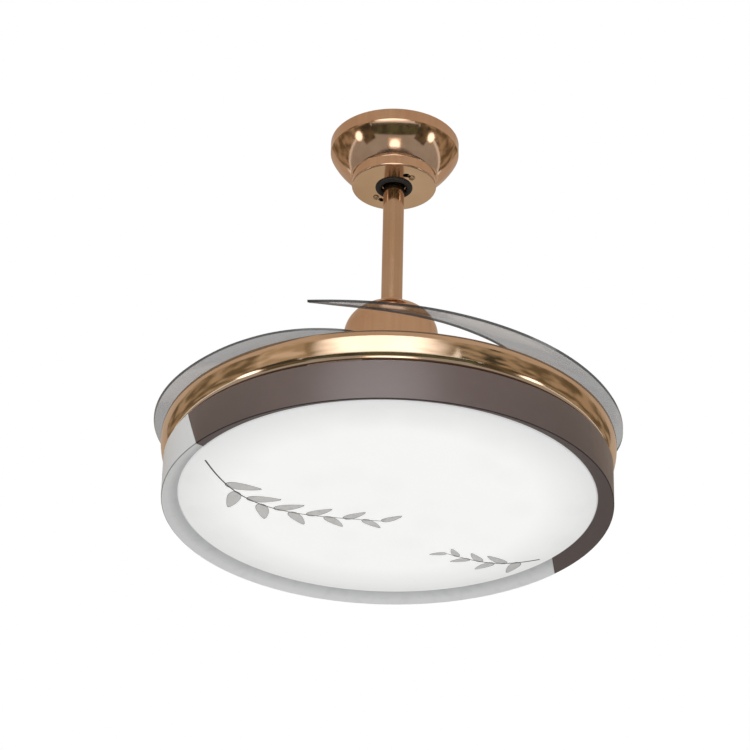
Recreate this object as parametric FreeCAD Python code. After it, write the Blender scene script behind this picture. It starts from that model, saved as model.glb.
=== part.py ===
"""Ceiling fan with three folding blades and a round lamp under them.

Lengths are millimetres and angles are degrees. The origin is the middle of the ceiling plate's top face
and +Z points up, so the whole fan hangs at negative Z. The viewer stands on the -Y side.
"""

import FreeCAD, Part
import math
import os

from FreeCAD import Vector

# Clearances that all pieces share
FIT = 0.05
RUNNING = 0.08
CLEAR = 0.3
OVERRUN = 1.0

# Ceiling bracket: round plate, two legs, seat disc with a cup for the ball
PLATE_RADIUS = 52.0
BRACKET_SHEET = 2.0
WIRE_HOLE_RADIUS = 11.0
SLOT_SPACING = 80.0
SLOT_WIDTH = 5.5
SLOT_LENGTH = 14.0
LEG_SPREAD = 64.0
LEG_WIDTH = 36.0
SEAT_DROP = 50.0
SEAT_RADIUS = 37.0
SEAT_WALL = 2.2
SEAT_LIP_DROP = 5.0
ROD_SLOT_ROOM = 1.5
TAB_WIDTH = 4.0
TAB_TOP_DROP = 5.0
TAB_BOTTOM_DROP = 10.0
TAB_BITE = 3.0

# Hanger ball and its cross pin
BALL_DROP = 35.0
BALL_RADIUS = 20.0
GROOVE_ROOM = 0.6
GROOVE_REACH = 3.0
BALL_PIN_RADIUS = 2.5
BALL_PIN_LENGTH = 32.0
BALL_PIN_RISE = 6.0

# Canopy, its keyholes, screws and rubber ring
CANOPY_RADIUS = 68.0
CANOPY_SHEET = 1.2
CANOPY_GAP = 0.5
CANOPY_HEIGHT = 54.5
CANOPY_WALL = 14.5
CANOPY_SHOULDER = 14.8
CANOPY_LEAN_ANGLE = 69.4
CANOPY_STEP_RADIUS = 45.5
CANOPY_EDGE = 2.5
CANOPY_HOLE_RADIUS = 17.4
SCREW_CIRCLE = 27.0
KEYHOLE_RADIUS = 3.6
KEYHOLE_ANGLE = -46.0
KEYHOLE_SWEEP_ANGLE = 16.0
CANOPY_SCREW_RADIUS = 2.0
CANOPY_SCREW_HEAD_RADIUS = 3.4
CANOPY_SCREW_HEAD = 2.0
SCREW_BOSS_RADIUS = 5.0
GROMMET_BORE_RADIUS = 13.6
GROMMET_LIP_RADIUS = 19.6
GROMMET_TOP_LIP = 2.0

# Terminal block under the ceiling plate
TERMINAL_LENGTH = 36.0
TERMINAL_WIDTH = 16.0
TERMINAL_HEIGHT = 13.0
TERMINAL_OFFSET = 41.0
TERMINAL_POLES = 3
TERMINAL_HOLE_RADIUS = 2.4

# Down rod and the cup that covers its lower end
ROD_RADIUS = 11.0
ROD_WALL = 1.5
ROD_LENGTH = 253.0
ROD_ABOVE_BALL = 15.0
CUP_BASE_RADIUS = 52.0
CUP_SHOULDER_RADIUS = 48.5
CUP_WALL_HEIGHT = 54.0
CUP_DOME = 32.0
CUP_NECK = 8.0
CUP_NECK_RADIUS = 15.0
CUP_SHEET = 1.2
CUP_MOTOR_GAP = 5.0
GRUB_RADIUS = 2.0

# Coupling between the rod and the motor shaft
COUPLING_RADIUS = 17.0
ROD_GRIP = 43.0
COUPLING_WEB = 4.0
SHAFT_GRIP = 18.0
CLEVIS_RADIUS = 3.0
CLEVIS_RISE = 28.0
CLEVIS_HEAD_RADIUS = 4.5
CLEVIS_HEAD = 2.5
CLEVIS_TAIL = 6.0
CLIP_WIRE_RADIUS = 0.8
CLIP_LOOP_RADIUS = 4.6
SET_SCREW_RADIUS = 3.0
SET_SCREW_RISE = 13.0

# Motor
SHAFT_RADIUS = 8.5
SHAFT_MIDDLE_RADIUS = 10.0
SHAFT_BORE_RADIUS = 5.2
SHAFT_ROOM = 2.0
MOTOR_TOP_GAP = 2.0
MOTOR_HEIGHT = 93.0
MOTOR_RADIUS = 80.0
MOTOR_WALL = 8.0
MOTOR_BASE_RADIUS = 86.0
MOTOR_BASE = 5.0
LOWER_SHELL_HEIGHT = 48.0
JOINT_FLANGE_RADIUS = 88.0
JOINT_FLANGE = 4.0
UPPER_WALL = 20.0
UPPER_DOME = 20.0
DOME_SHEET = 5.0
MOTOR_BOSS_RADIUS = 27.0
BEARING_RADIUS = 20.0
BEARING_WIDTH = 12.0
BEARING_SEAT_WALL = 6.0
BEARING_COVER = 6.0
RACE = 3.4
BEARING_BALLS = 8
BALL_TRACK_SINK = 0.25
VENT_COUNT = 12
VENT_WIDTH = 4.0
VENT_INNER_RADIUS = 40.0
VENT_OUTER_RADIUS = 66.0
STATOR_RADIUS = 62.0
STATOR_HEIGHT = 26.0
STATOR_SLOTS = 12
SLOT_FLOOR_RADIUS = 28.0
SLOT_FLOOR_WIDTH = 8.0
SLOT_HEAD_RADIUS = 57.0
SLOT_HEAD_WIDTH = 19.0
SLOT_MOUTH = 3.2
COIL_INNER_RADIUS = 32.0
COIL_OUTER_RADIUS = 54.0
COIL_BORE_WIDTH = 11.2
COIL_WALL = 2.4
COIL_OVERHANG = 3.0
AIR_GAP = 0.8
MAGNET = 4.0
MAGNET_HEIGHT = 30.0
MAGNET_COUNT = 14
MAGNET_SPREAD_SHARE = 0.86
MOTOR_SCREW_COUNT = 6
MOTOR_SCREW_RADIUS = 2.0
MOTOR_SCREW_HEAD_RADIUS = 3.4
MOTOR_SCREW_HEAD = 3.0

# Radius of the folded blades, which the tray, the gears and the lamp follow
BLADE_RADIUS = 236.0

# Tray that carries the blades
TRAY_INSET = 7.3
TRAY_RADIUS = BLADE_RADIUS - TRAY_INSET
TRAY_BELLY = 8.7
TRAY_BASE_RADIUS = TRAY_RADIUS - TRAY_BELLY
TRAY_DEPTH = 29.4
TRAY_RIM = 7.6
TRAY_RIM_INSET = 3.3
TRAY_SHEET = 1.2
TRAY_HOLE_RADIUS = 30.0
TRAY_GAP = 2.0
TRAY_SCREW_COUNT = 6
TRAY_SCREW_CIRCLE = 74.0
TRAY_SCREW_RADIUS = 2.5
TRAY_SCREW_HEAD_RADIUS = 4.5
TRAY_SCREW_HEAD = 1.3

# Gears that make the blades swing together
BLADE_COUNT = 3
PIVOT_ANGLE = 15.0
BLADE_SWING_ANGLE = 118.0
MODULE = 2.0
PRESSURE_ANGLE = 20.0
HUB_TEETH = 30
BLADE_OVERHANG = 50.0
TEETH_ROUND = 2 * (BLADE_RADIUS - BLADE_OVERHANG) / MODULE
RING_TEETH = BLADE_COUNT * round((TEETH_ROUND - HUB_TEETH) / BLADE_COUNT)
BACKLASH = 0.5
MESH_ROOM = 0.15
DEDENDUM_SHARE = 1.25
FLANK_POINTS = 4
SPARE_TEETH = 3
GEAR_THICKNESS = 5.0
GEAR_WINDOW_INNER_RADIUS = 92.0
GEAR_RIM = 18.0
GEAR_WINDOW_OUTER_RADIUS = MODULE * RING_TEETH / 2 - GEAR_RIM
GEAR_WINDOW_COUNT = 6
GEAR_WINDOW_SHARE = 0.72

# Pivot of a blade: post, bush, barrel with the return spring, carrier plate, clip
POST_RADIUS = 5.0
POST_FLANGE_RADIUS = 10.0
POST_FLANGE = 2.0
POST_TAIL_RADIUS = 8.0
POST_TAIL = 1.2
POST_GROOVE = 0.8
POST_CROWN = 1.6
BUSH_WALL = 2.0
BUSH_RISE = 0.2
BARREL_RADIUS = 13.0
CARRIER_RISE = 30.0
CARRIER_THICKNESS = 3.3
CARRIER_NOSE_RADIUS = 20.0
CARRIER_TAIL_WIDTH = 36.0
CARRIER_TAIL_EDGE = 12.0
CARRIER_LENGTH = 48.0
CARRIER_HEADING_ANGLE = -82.0
CLIP_RADIUS = 9.0
CLIP_SHEET = 1.2
CLIP_LIFT = 0.2
SPRING_WIRE_RADIUS = 0.8
SPRING_RADIUS = 15.5
SPRING_PITCH = 2.5
SPRING_TURNS = 6
SPRING_LIFT = 1.2
SPRING_FOOT_RADIUS = 31.0
SPRING_BEND_RADIUS = 3.0
SPRING_TAIL = 8.0

# Blade
BLADE_WIDTH = 68.0
BLADE_THICKNESS = 2.5
BLADE_SPAN_ANGLE = 125.0
BLADE_PITCH_ANGLE = 24.0
BLADE_LIFT = 27.0
BLADE_CAMBER = 2.4
BLADE_SEAT = 0.3
BLADE_EYE_ROOM = 1.5
BLADE_SCREW_RADIUS = 2.0
BLADE_SCREW_HEAD_RADIUS = 4.0
BLADE_SCREW_HEAD = 1.8
BLADE_SCREW_SPREAD = 24.0
BLADE_SCREW_FIRST = 22.0
BLADE_SCREW_SECOND = 38.0
# A row per section: place along the span, then inset of the outer edge and width over BLADE_WIDTH,
# then pitch and lift
BLADE_SHARES = (
    (-0.062, 0.42, 0.38, 0.00, 0.00),
    (-0.050, 0.36, 0.52, 0.00, 0.00),
    (-0.025, 0.27, 0.72, 0.00, 0.00),
    (0.010, 0.19, 0.88, 0.00, 0.00),
    (0.045, 0.12, 0.98, 0.00, 0.00),
    (0.080, 0.07, 1.04, 0.00, 0.00),
    (0.120, 0.03, 1.08, 0.00, 0.00),
    (0.160, 0.01, 1.09, 0.04, 0.00),
    (0.210, 0.00, 1.08, 0.18, 0.01),
    (0.270, 0.00, 1.06, 0.42, 0.02),
    (0.330, 0.00, 1.04, 0.66, 0.04),
    (0.400, 0.00, 1.02, 0.86, 0.09),
    (0.480, 0.00, 1.00, 0.97, 0.16),
    (0.640, 0.00, 0.96, 1.00, 0.32),
    (0.800, 0.00, 0.85, 1.00, 0.54),
    (0.900, 0.00, 0.66, 1.00, 0.71),
    (0.960, 0.01, 0.42, 1.00, 0.86),
    (1.000, 0.03, 0.07, 1.00, 1.00),
)

# Lamp: chassis, boards, driver, controller
RING_INSET = 3.7
RING_RADIUS = TRAY_RADIUS - RING_INSET
CHASSIS_INSET = 13.0
CHASSIS_RADIUS = RING_RADIUS - CHASSIS_INSET
CHASSIS_SHEET = 1.2
CHASSIS_RIM = 24.0
CHASSIS_HOLE_ROOM = 0.2
LUG_COUNT = 3
LUG_ANGLE = 30.0
LUG_SPREAD_ANGLE = 10.0
LUG_REACH = 9.0
LAMP_PLATE_RADIUS = 70.0
LAMP_PLATE = 2.5
SHAFT_COLLAR_RADIUS = 13.0
SHAFT_COLLAR = 1.2
NUT_ACROSS_FLATS = 27.0
NUT_HEIGHT = 8.0
SHAFT_END = 3.0
CHASSIS_SCREW_COUNT = 4
CHASSIS_SCREW_CIRCLE = 60.0
CHASSIS_SCREW_RADIUS = 2.0
CHASSIS_SCREW_HEAD_RADIUS = 3.6
CHASSIS_SCREW_HEAD = 1.2
BOARD_INNER_RADIUS = 94.0
BOARD_MARGIN = 20.0
BOARD_OUTER_RADIUS = CHASSIS_RADIUS - BOARD_MARGIN
BOARD_SHEET = 1.6
LENS_RADIUS = 6.0
LENS_HEIGHT = 4.0
LENS_MARGIN = 24.0
INNER_LENS_CIRCLE = BOARD_INNER_RADIUS + LENS_MARGIN
INNER_LENS_COUNT = 12
OUTER_LENS_CIRCLE = BOARD_OUTER_RADIUS - LENS_MARGIN
OUTER_LENS_COUNT = 24
BOX_LENGTH = 88.0
BOX_WIDTH = 28.0
BOX_HEIGHT = 20.0
BOX_OFFSET = 36.0
BOX_EDGE = 2.0

# Shade: two ring halves, joint plates, diffuser
RING_HEIGHT = 41.5
RING_SHEET = 1.6
RING_EDGE = 0.8
RING_FLANGE = 9.0
LIP_WIDTH = 16.0
LIP_RISE = 6.0
NOTCH_ROOM_ANGLE = 2.0
SHADE_TWIST_ANGLE = 14.0
FIRST_SEAM_ANGLE = -147.6
SECOND_SEAM_ANGLE = 36.5
SEAM_TILT_ANGLE = 22.0
SEAM_SKEW_ANGLE = 34.0
SEAM_REACH_ANGLE = 12.0
JOINT_PLATE_ANGLE = 16.0
JOINT_PLATE_SHEET = 1.6
JOINT_PLATE_MARGIN = 8.0
DIFFUSER_SHEET = 2.0
DIFFUSER_DROP = 2.6
DIFFUSER_EDGE = 2.0
DIFFUSER_RIM = 9.0
DIFFUSER_CROWN = 1.0

# Heights, worked out from the ceiling down
BALL_Z = -BALL_DROP
CANOPY_RIM_Z = -CANOPY_GAP
CANOPY_BOWL_Z = CANOPY_RIM_Z - CANOPY_WALL
CANOPY_LEAN = math.radians(CANOPY_LEAN_ANGLE)
CANOPY_COVE = (CANOPY_RADIUS - CANOPY_STEP_RADIUS) / (1 - math.cos(CANOPY_LEAN)) - CANOPY_SHOULDER
CANOPY_STEP_Z = CANOPY_BOWL_Z - (CANOPY_SHOULDER + CANOPY_COVE) * math.sin(CANOPY_LEAN)
CANOPY_BASE_Z = CANOPY_RIM_Z - CANOPY_HEIGHT
ROD_TOP_Z = BALL_Z + ROD_ABOVE_BALL
ROD_BASE_Z = ROD_TOP_Z - ROD_LENGTH
WEB_BASE_Z = ROD_BASE_Z - COUPLING_WEB
COUPLING_BASE_Z = WEB_BASE_Z - SHAFT_GRIP
MOTOR_TOP_Z = COUPLING_BASE_Z - MOTOR_TOP_GAP
FLOOR_Z = MOTOR_TOP_Z - MOTOR_HEIGHT
TRAY_BASE_Z = FLOOR_Z - TRAY_SHEET
RING_TOP_Z = TRAY_BASE_Z - TRAY_GAP
RING_BASE_Z = RING_TOP_Z - RING_HEIGHT
CHASSIS_TOP_Z = RING_TOP_Z - RING_SHEET - CLEAR
CHASSIS_BASE_Z = CHASSIS_TOP_Z - CHASSIS_SHEET
PLATE_BASE_Z = CHASSIS_BASE_Z - LAMP_PLATE
NUT_BASE_Z = PLATE_BASE_Z - NUT_HEIGHT
SHAFT_BASE_Z = NUT_BASE_Z - SHAFT_END
PARTING_Z = FLOOR_Z + LOWER_SHELL_HEIGHT
LOWER_BEARING_Z = FLOOR_Z + MOTOR_BASE
UPPER_BEARING_Z = MOTOR_TOP_Z - BEARING_COVER - BEARING_WIDTH
STATOR_Z = (LOWER_BEARING_Z + BEARING_WIDTH + UPPER_BEARING_Z - STATOR_HEIGHT) / 2
GEAR_Z = FLOOR_Z + MOTOR_BASE + CLEAR
GEAR_TOP_Z = GEAR_Z + GEAR_THICKNESS
CARRIER_Z = FLOOR_Z + CARRIER_RISE
CARRIER_TOP_Z = CARRIER_Z + CARRIER_THICKNESS
BLADE_Z = CARRIER_TOP_Z + BLADE_SEAT

# Radii and angles that several pieces share
PIVOT_RADIUS = MODULE * (RING_TEETH + HUB_TEETH) / 2 + MESH_ROOM
BUSH_RADIUS = POST_RADIUS + RUNNING + BUSH_WALL
MOTOR_BORE_RADIUS = MOTOR_RADIUS - MOTOR_WALL
MAGNET_INNER_RADIUS = STATOR_RADIUS + AIR_GAP
MAGNET_OUTER_RADIUS = MAGNET_INNER_RADIUS + MAGNET
RING_BORE_RADIUS = RING_RADIUS - RING_SHEET
LIP_RADIUS = RING_RADIUS - LIP_WIDTH
BLADE_STEP_ANGLE = 360 / BLADE_COUNT
HUB_PITCH_ANGLE = 360 / HUB_TEETH
RING_PITCH_ANGLE = 360 / RING_TEETH
ANGLE_TOLERANCE = 1e-6
UP = Vector(0, 0, 1)
ORIGIN = Vector(0, 0, 0)


def polar(radius, angle, z=0.0):
    """A point at a radius, an angle and a height."""
    turn = math.radians(angle)
    return Vector(radius * math.cos(turn), radius * math.sin(turn), z)


def cylinder(radius, low, high, centre=ORIGIN):
    """An upright cylinder between two heights."""
    return Part.makeCylinder(radius, high - low, Vector(centre.x, centre.y, low))


def tube(outer, inner, low, high, centre=ORIGIN):
    """An upright tube between two heights."""
    core = cylinder(inner, low - OVERRUN, high + OVERRUN, centre)
    return cylinder(outer, low, high, centre).cut(core)


def rod_between(start, end, radius):
    """A round rod from one point to another."""
    return Part.makeCylinder(radius, (end - start).Length, start, end - start)


def block(low, high):
    """A box between its lowest and highest corners."""
    size = high - low
    return Part.makeBox(size.x, size.y, size.z, low)


def turned_copy(shape, angle):
    """A copy of a shape, turned about the fan's axis."""
    copy = shape.copy()
    copy.rotate(ORIGIN, UP, angle)
    return copy


def ring_copies(shape, count, first=0.0):
    """Copies of a shape, evenly spaced about the fan's axis."""
    return [turned_copy(shape, first + 360 * i / count) for i in range(count)]


def fused(first, *others):
    """One solid from several that touch, with its needless edges taken out."""
    return first.multiFuse(list(others)).removeSplitter()


def cut_all(shape, tools):
    """A shape with all the tools cut out of it."""
    return shape.cut(Part.Compound(list(tools)))


def edges_along(shape, direction):
    """The straight edges of a shape that run along a direction."""
    lines = [edge for edge in shape.Edges if isinstance(edge.Curve, Part.Line)]
    return [edge for edge in lines if edge.Curve.Direction.cross(direction).Length < ANGLE_TOLERANCE]


def sector(inner, outer, low, high, first, last):
    """A piece of a ring between two angles."""
    middle = (first + last) / 2
    edges = [
        Part.LineSegment(polar(inner, first, low), polar(outer, first, low)).toShape(),
        Part.Arc(polar(outer, first, low), polar(outer, middle, low), polar(outer, last, low)).toShape(),
        Part.LineSegment(polar(outer, last, low), polar(inner, last, low)).toShape(),
        Part.Arc(polar(inner, last, low), polar(inner, middle, low), polar(inner, first, low)).toShape(),
    ]
    return Part.Face(Part.Wire(edges)).extrude(UP * (high - low))


class Section:
    """An outline of radii and heights, drawn edge by edge and then turned about the fan's axis."""

    def __init__(self, radius, height):
        self.start = Vector(radius, 0, height)
        self.end = self.start
        self.edges = []

    def lines(self, *points):
        """Straight edges on through the points."""
        for radius, height in points:
            target = Vector(radius, 0, height)
            self.edges.append(Part.LineSegment(self.end, target).toShape())
            self.end = target
        return self

    def quarter(self, radius, height, centre_radius, centre_height):
        """A quarter of an ellipse on to a point, about its centre."""
        target = Vector(radius, 0, height)
        centre = Vector(centre_radius, 0, centre_height)
        ends = sorted((self.end, target), key=lambda end: -(end - centre).Length)
        curve = Part.Ellipse(ends[0], ends[1], centre)
        self.edges.append(Part.ArcOfEllipse(curve, 0, math.pi / 2).toShape())
        self.end = target
        return self

    def arc(self, mid_radius, mid_height, radius, height):
        """A circular arc on to a point, through a middle one."""
        target = Vector(radius, 0, height)
        curve = Part.Arc(self.end, Vector(mid_radius, 0, mid_height), target)
        self.edges.append(curve.toShape())
        self.end = target
        return self

    def sweep(self, radius, centre_radius, centre_height, first, last):
        """A circular arc about a centre, between two angles in degrees."""
        middle, end = polar(radius, (first + last) / 2), polar(radius, last)
        return self.arc(
            centre_radius + middle.x, centre_height + middle.y, centre_radius + end.x, centre_height + end.y
        )

    def turn(self):
        """The closed outline turned into a solid."""
        if (self.end - self.start).Length > 0:
            self.lines((self.start.x, self.start.z))
        wire = Part.Wire(Part.__sortEdges__(self.edges))
        return Part.Face(wire).revolve(ORIGIN, UP, 360)


def cap_middle(width, height):
    """Half-way point of a round cap's outline, as its radius and its height from the crown."""
    ball = (width**2 + height**2) / (2 * height)
    half = math.asin(width / ball) / 2
    return ball * math.sin(half), ball * (1 - math.cos(half))


def save(node, *solids):
    """Writes one node, which holds one solid or a group of like ones."""
    parts = [solid for shape in solids for solid in shape.Solids]
    shape = parts[0] if len(parts) == 1 else Part.Compound(parts)
    shape.exportStep(f"parts/{node}.step")
    state = "valid" if shape.isValid() else "NOT VALID"
    print(f"{node}: {len(parts)} solids, {shape.Volume:.1f} mm3, {state}")


def screw(top, down, radius, length, head_radius, head):
    """A screw whose head lies on a face, at top, and whose shank runs along down."""
    shank = rod_between(top, top + down * length, radius)
    cap = rod_between(top, top - down * head, head_radius)
    return fused(shank, cap)


# Ceiling bracket, canopy and what lies in them


def canopy_screw_places():
    """The two points where the canopy's screws cross the seat disc's underside."""
    angles = (KEYHOLE_ANGLE, KEYHOLE_ANGLE + 180)
    return [polar(SCREW_CIRCLE, angle, -SEAT_DROP) for angle in angles]


def ceiling_slots():
    """The two slots in the ceiling plate, as cutting bodies."""
    reach = (SLOT_LENGTH - SLOT_WIDTH) / 2
    low = -BRACKET_SHEET - OVERRUN
    slots = []
    for side in (-1, 1):
        middle = side * SLOT_SPACING / 2
        places = [Vector(middle + end * reach, 0, 0) for end in (-1, 1)]
        ends = [cylinder(SLOT_WIDTH / 2, low, OVERRUN, place) for place in places]
        corner = Vector(middle - reach, -SLOT_WIDTH / 2, low)
        bar = block(corner, Vector(middle + reach, SLOT_WIDTH / 2, OVERRUN))
        slots.append(fused(bar, *ends))
    return slots


def ceiling_bracket():
    """Round ceiling plate, two legs and the seat disc with its cup, tab and screw bosses."""
    centre = Vector(0, 0, BALL_Z)
    room = BALL_RADIUS + CLEAR
    seat_low = -SEAT_DROP
    lip = BALL_Z - SEAT_LIP_DROP
    plate = cylinder(PLATE_RADIUS, -BRACKET_SHEET, 0)
    disc = cylinder(SEAT_RADIUS, seat_low, seat_low + BRACKET_SHEET)
    cup = Part.makeSphere(room + SEAT_WALL, centre).common(cylinder(PLATE_RADIUS, seat_low, lip))
    legs = []
    for side in (-1, 1):
        faces = sorted((side * LEG_SPREAD / 2, side * (LEG_SPREAD / 2 - BRACKET_SHEET)))
        low = Vector(faces[0], -LEG_WIDTH / 2, seat_low)
        legs.append(block(low, Vector(faces[1], LEG_WIDTH / 2, 0)))
    boss_low = CANOPY_BASE_Z + CANOPY_SHEET
    bosses = [cylinder(SCREW_BOSS_RADIUS, boss_low, seat_low, place) for place in canopy_screw_places()]
    body = fused(plate, disc, cup, *legs, *bosses)
    tab_inner = math.sqrt(BALL_RADIUS**2 - TAB_TOP_DROP**2) - TAB_BITE
    tab = block(
        Vector(-TAB_WIDTH / 2, -room - SEAT_WALL / 2, BALL_Z - TAB_BOTTOM_DROP),
        Vector(TAB_WIDTH / 2, -tab_inner, BALL_Z - TAB_TOP_DROP),
    )
    gap = ROD_RADIUS + ROD_SLOT_ROOM
    mouth = block(Vector(-gap, 0, seat_low - OVERRUN), Vector(gap, PLATE_RADIUS, lip + OVERRUN))
    holes = [
        cylinder(CANOPY_SCREW_RADIUS + FIT, boss_low - OVERRUN, seat_low + BRACKET_SHEET + OVERRUN, place)
        for place in canopy_screw_places()
    ]
    wires = cylinder(WIRE_HOLE_RADIUS, -BRACKET_SHEET - OVERRUN, OVERRUN)
    body = cut_all(body, [Part.makeSphere(room, centre), mouth, wires, *holes, *ceiling_slots()])
    return fused(body, tab)


def canopy_body(inset):
    """The canopy's bowl as a full body, drawn in by a wall: rim, shoulder, cove and stepped foot."""
    top = CANOPY_RIM_Z + (OVERRUN if inset else 0)
    step = CANOPY_STEP_RADIUS - inset
    base = CANOPY_BASE_Z + inset
    edge = CANOPY_EDGE - inset
    slant = edge * (1 - math.sqrt(0.5))
    lean = CANOPY_LEAN_ANGLE
    section = Section(0, top).lines((CANOPY_RADIUS - inset, top), (CANOPY_RADIUS - inset, CANOPY_BOWL_Z))
    section.sweep(CANOPY_SHOULDER - inset, CANOPY_RADIUS - CANOPY_SHOULDER, CANOPY_BOWL_Z, 0, -lean)
    section.sweep(CANOPY_COVE + inset, CANOPY_STEP_RADIUS + CANOPY_COVE, CANOPY_STEP_Z, 180 - lean, 180)
    section.lines((step, base + edge))
    section.arc(step - slant, base + slant, step - edge, base)
    return section.lines((0, base)).turn()


def canopy():
    """The polished canopy, with its rod hole and two keyholes."""
    low = CANOPY_BASE_Z - OVERRUN
    high = CANOPY_BASE_Z + CANOPY_SHEET + OVERRUN
    slot = CANOPY_SCREW_RADIUS + CLEAR
    cuts = [cylinder(CANOPY_HOLE_RADIUS, low, high)]
    for angle in (KEYHOLE_ANGLE, KEYHOLE_ANGLE + 180):
        wide = angle - KEYHOLE_SWEEP_ANGLE
        cuts.append(cylinder(KEYHOLE_RADIUS, low, high, polar(SCREW_CIRCLE, wide)))
        cuts.append(cylinder(slot, low, high, polar(SCREW_CIRCLE, angle)))
        cuts.append(sector(SCREW_CIRCLE - slot, SCREW_CIRCLE + slot, low, high, wide, angle))
    shell = canopy_body(0).cut(canopy_body(CANOPY_SHEET))
    return shell.cut(fused(*cuts))


def canopy_screws():
    """Two screws from below, through the keyholes into the bracket."""
    length = -SEAT_DROP + BRACKET_SHEET - CANOPY_BASE_Z
    heads = [Vector(place.x, place.y, CANOPY_BASE_Z) for place in canopy_screw_places()]
    return [
        screw(head, UP, CANOPY_SCREW_RADIUS, length, CANOPY_SCREW_HEAD_RADIUS, CANOPY_SCREW_HEAD)
        for head in heads
    ]


def rod_grommet():
    """Rubber ring that holds the canopy's edge in its groove."""
    neck = CANOPY_HOLE_RADIUS - FIT
    top = CANOPY_BASE_Z + CANOPY_SHEET
    bead = (GROMMET_LIP_RADIUS - GROMMET_BORE_RADIUS) / 2
    middle = GROMMET_BORE_RADIUS + bead
    section = Section(GROMMET_BORE_RADIUS, top + GROMMET_TOP_LIP)
    section.lines((middle, top + GROMMET_TOP_LIP), (GROMMET_LIP_RADIUS, top + FIT), (neck, top + FIT))
    section.lines((neck, CANOPY_BASE_Z - FIT), (GROMMET_LIP_RADIUS, CANOPY_BASE_Z - FIT))
    section.arc(middle, CANOPY_BASE_Z - FIT - bead, GROMMET_BORE_RADIUS, CANOPY_BASE_Z - FIT)
    return section.turn()


def terminal_block():
    """Terminal block under the ceiling plate, with its wire holes."""
    top = -BRACKET_SHEET
    low = Vector(-TERMINAL_LENGTH / 2, -TERMINAL_OFFSET - TERMINAL_WIDTH / 2, top - TERMINAL_HEIGHT)
    body = block(low, Vector(TERMINAL_LENGTH / 2, -TERMINAL_OFFSET + TERMINAL_WIDTH / 2, top))
    spacing = TERMINAL_LENGTH / TERMINAL_POLES
    holes = []
    for pole in range(TERMINAL_POLES):
        x = low.x + spacing * (pole + 1 / 2)
        start = Vector(x, low.y - OVERRUN, top - TERMINAL_HEIGHT / 2)
        end = start + Vector(0, TERMINAL_WIDTH + 2 * OVERRUN, 0)
        holes.append(rod_between(start, end, TERMINAL_HOLE_RADIUS))
    return cut_all(body, holes)


# Ball, rod, cup and coupling


def hanger_ball():
    """Ball with the rod's bore, the pin's groove on top and the groove that the bracket's tab runs in."""
    centre = Vector(0, 0, BALL_Z)
    ball = Part.makeSphere(BALL_RADIUS, centre)
    top = BALL_Z + BALL_RADIUS + OVERRUN
    bore = cylinder(ROD_RADIUS + FIT, BALL_Z - BALL_RADIUS - OVERRUN, top)
    half = BALL_PIN_LENGTH / 2 + CLEAR
    pin_z = BALL_Z + BALL_PIN_RISE
    seat = rod_between(Vector(-half, 0, pin_z), Vector(half, 0, pin_z), BALL_PIN_RADIUS + FIT)
    side = BALL_PIN_RADIUS + FIT
    entry = block(Vector(-half, -side, pin_z), Vector(half, side, top))
    width = TAB_WIDTH / 2 + GROOVE_ROOM
    depth = math.sqrt(BALL_RADIUS**2 - TAB_TOP_DROP**2) - TAB_BITE - GROOVE_ROOM * 2
    groove = block(
        Vector(-width, -BALL_RADIUS - OVERRUN, BALL_Z - TAB_BOTTOM_DROP - GROOVE_REACH),
        Vector(width, -depth, BALL_Z - TAB_TOP_DROP + GROOVE_REACH),
    )
    return cut_all(ball, [bore, fused(seat, entry), groove])


def ball_pin():
    """Cross pin that hangs the rod in the ball."""
    half = Vector(BALL_PIN_LENGTH / 2, 0, 0)
    middle = Vector(0, 0, BALL_Z + BALL_PIN_RISE)
    return rod_between(middle - half, middle + half, BALL_PIN_RADIUS)


def downrod():
    """Hollow rod with the cross holes of its two pins."""
    body = tube(ROD_RADIUS, ROD_RADIUS - ROD_WALL, ROD_BASE_Z, ROD_TOP_Z)
    holes = []
    for z, radius in ((BALL_Z + BALL_PIN_RISE, BALL_PIN_RADIUS), (ROD_BASE_Z + CLEVIS_RISE, CLEVIS_RADIUS)):
        reach = Vector(ROD_RADIUS + OVERRUN, 0, 0)
        holes.append(rod_between(Vector(0, 0, z) - reach, Vector(0, 0, z) + reach, radius + FIT))
    return cut_all(body, holes)


def cup_heights():
    """The heights of the cup's foot, shoulder, crown and neck."""
    foot = MOTOR_TOP_Z + CUP_MOTOR_GAP
    shoulder = foot + CUP_WALL_HEIGHT
    crown = shoulder + CUP_DOME
    return foot, shoulder, crown, crown + CUP_NECK


def cup_body(inset):
    """The cup as a full body, drawn in by a wall."""
    foot, shoulder, crown, neck = cup_heights()
    low = foot - (OVERRUN if inset else 0)
    section = Section(0, low).lines((CUP_BASE_RADIUS - inset, low), (CUP_SHOULDER_RADIUS - inset, shoulder))
    section.quarter(CUP_NECK_RADIUS, crown - inset, CUP_NECK_RADIUS, shoulder)
    if inset:
        return section.lines((0, crown - inset)).turn()
    return section.lines((CUP_NECK_RADIUS, neck), (0, neck)).turn()


def cup_grub_line():
    """Where the cup's grub screw starts, on the rod, and ends, at the neck's face."""
    crown, neck = cup_heights()[2:]
    z = (crown + neck) / 2
    return Vector(0, ROD_RADIUS, z), Vector(0, CUP_NECK_RADIUS, z)


def rod_cup():
    """Polished cup over the coupling, held on the rod at its neck."""
    foot, _, _, neck = cup_heights()
    shell = cup_body(0).cut(cup_body(CUP_SHEET))
    start, end = cup_grub_line()
    hole = rod_between(start, end + Vector(0, OVERRUN, 0), GRUB_RADIUS + FIT)
    return cut_all(shell, [cylinder(ROD_RADIUS + FIT, foot, neck + OVERRUN), hole])


def cup_grub_screw():
    """Grub screw that clamps the cup to the rod."""
    start, end = cup_grub_line()
    return rod_between(start, end, GRUB_RADIUS)


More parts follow.
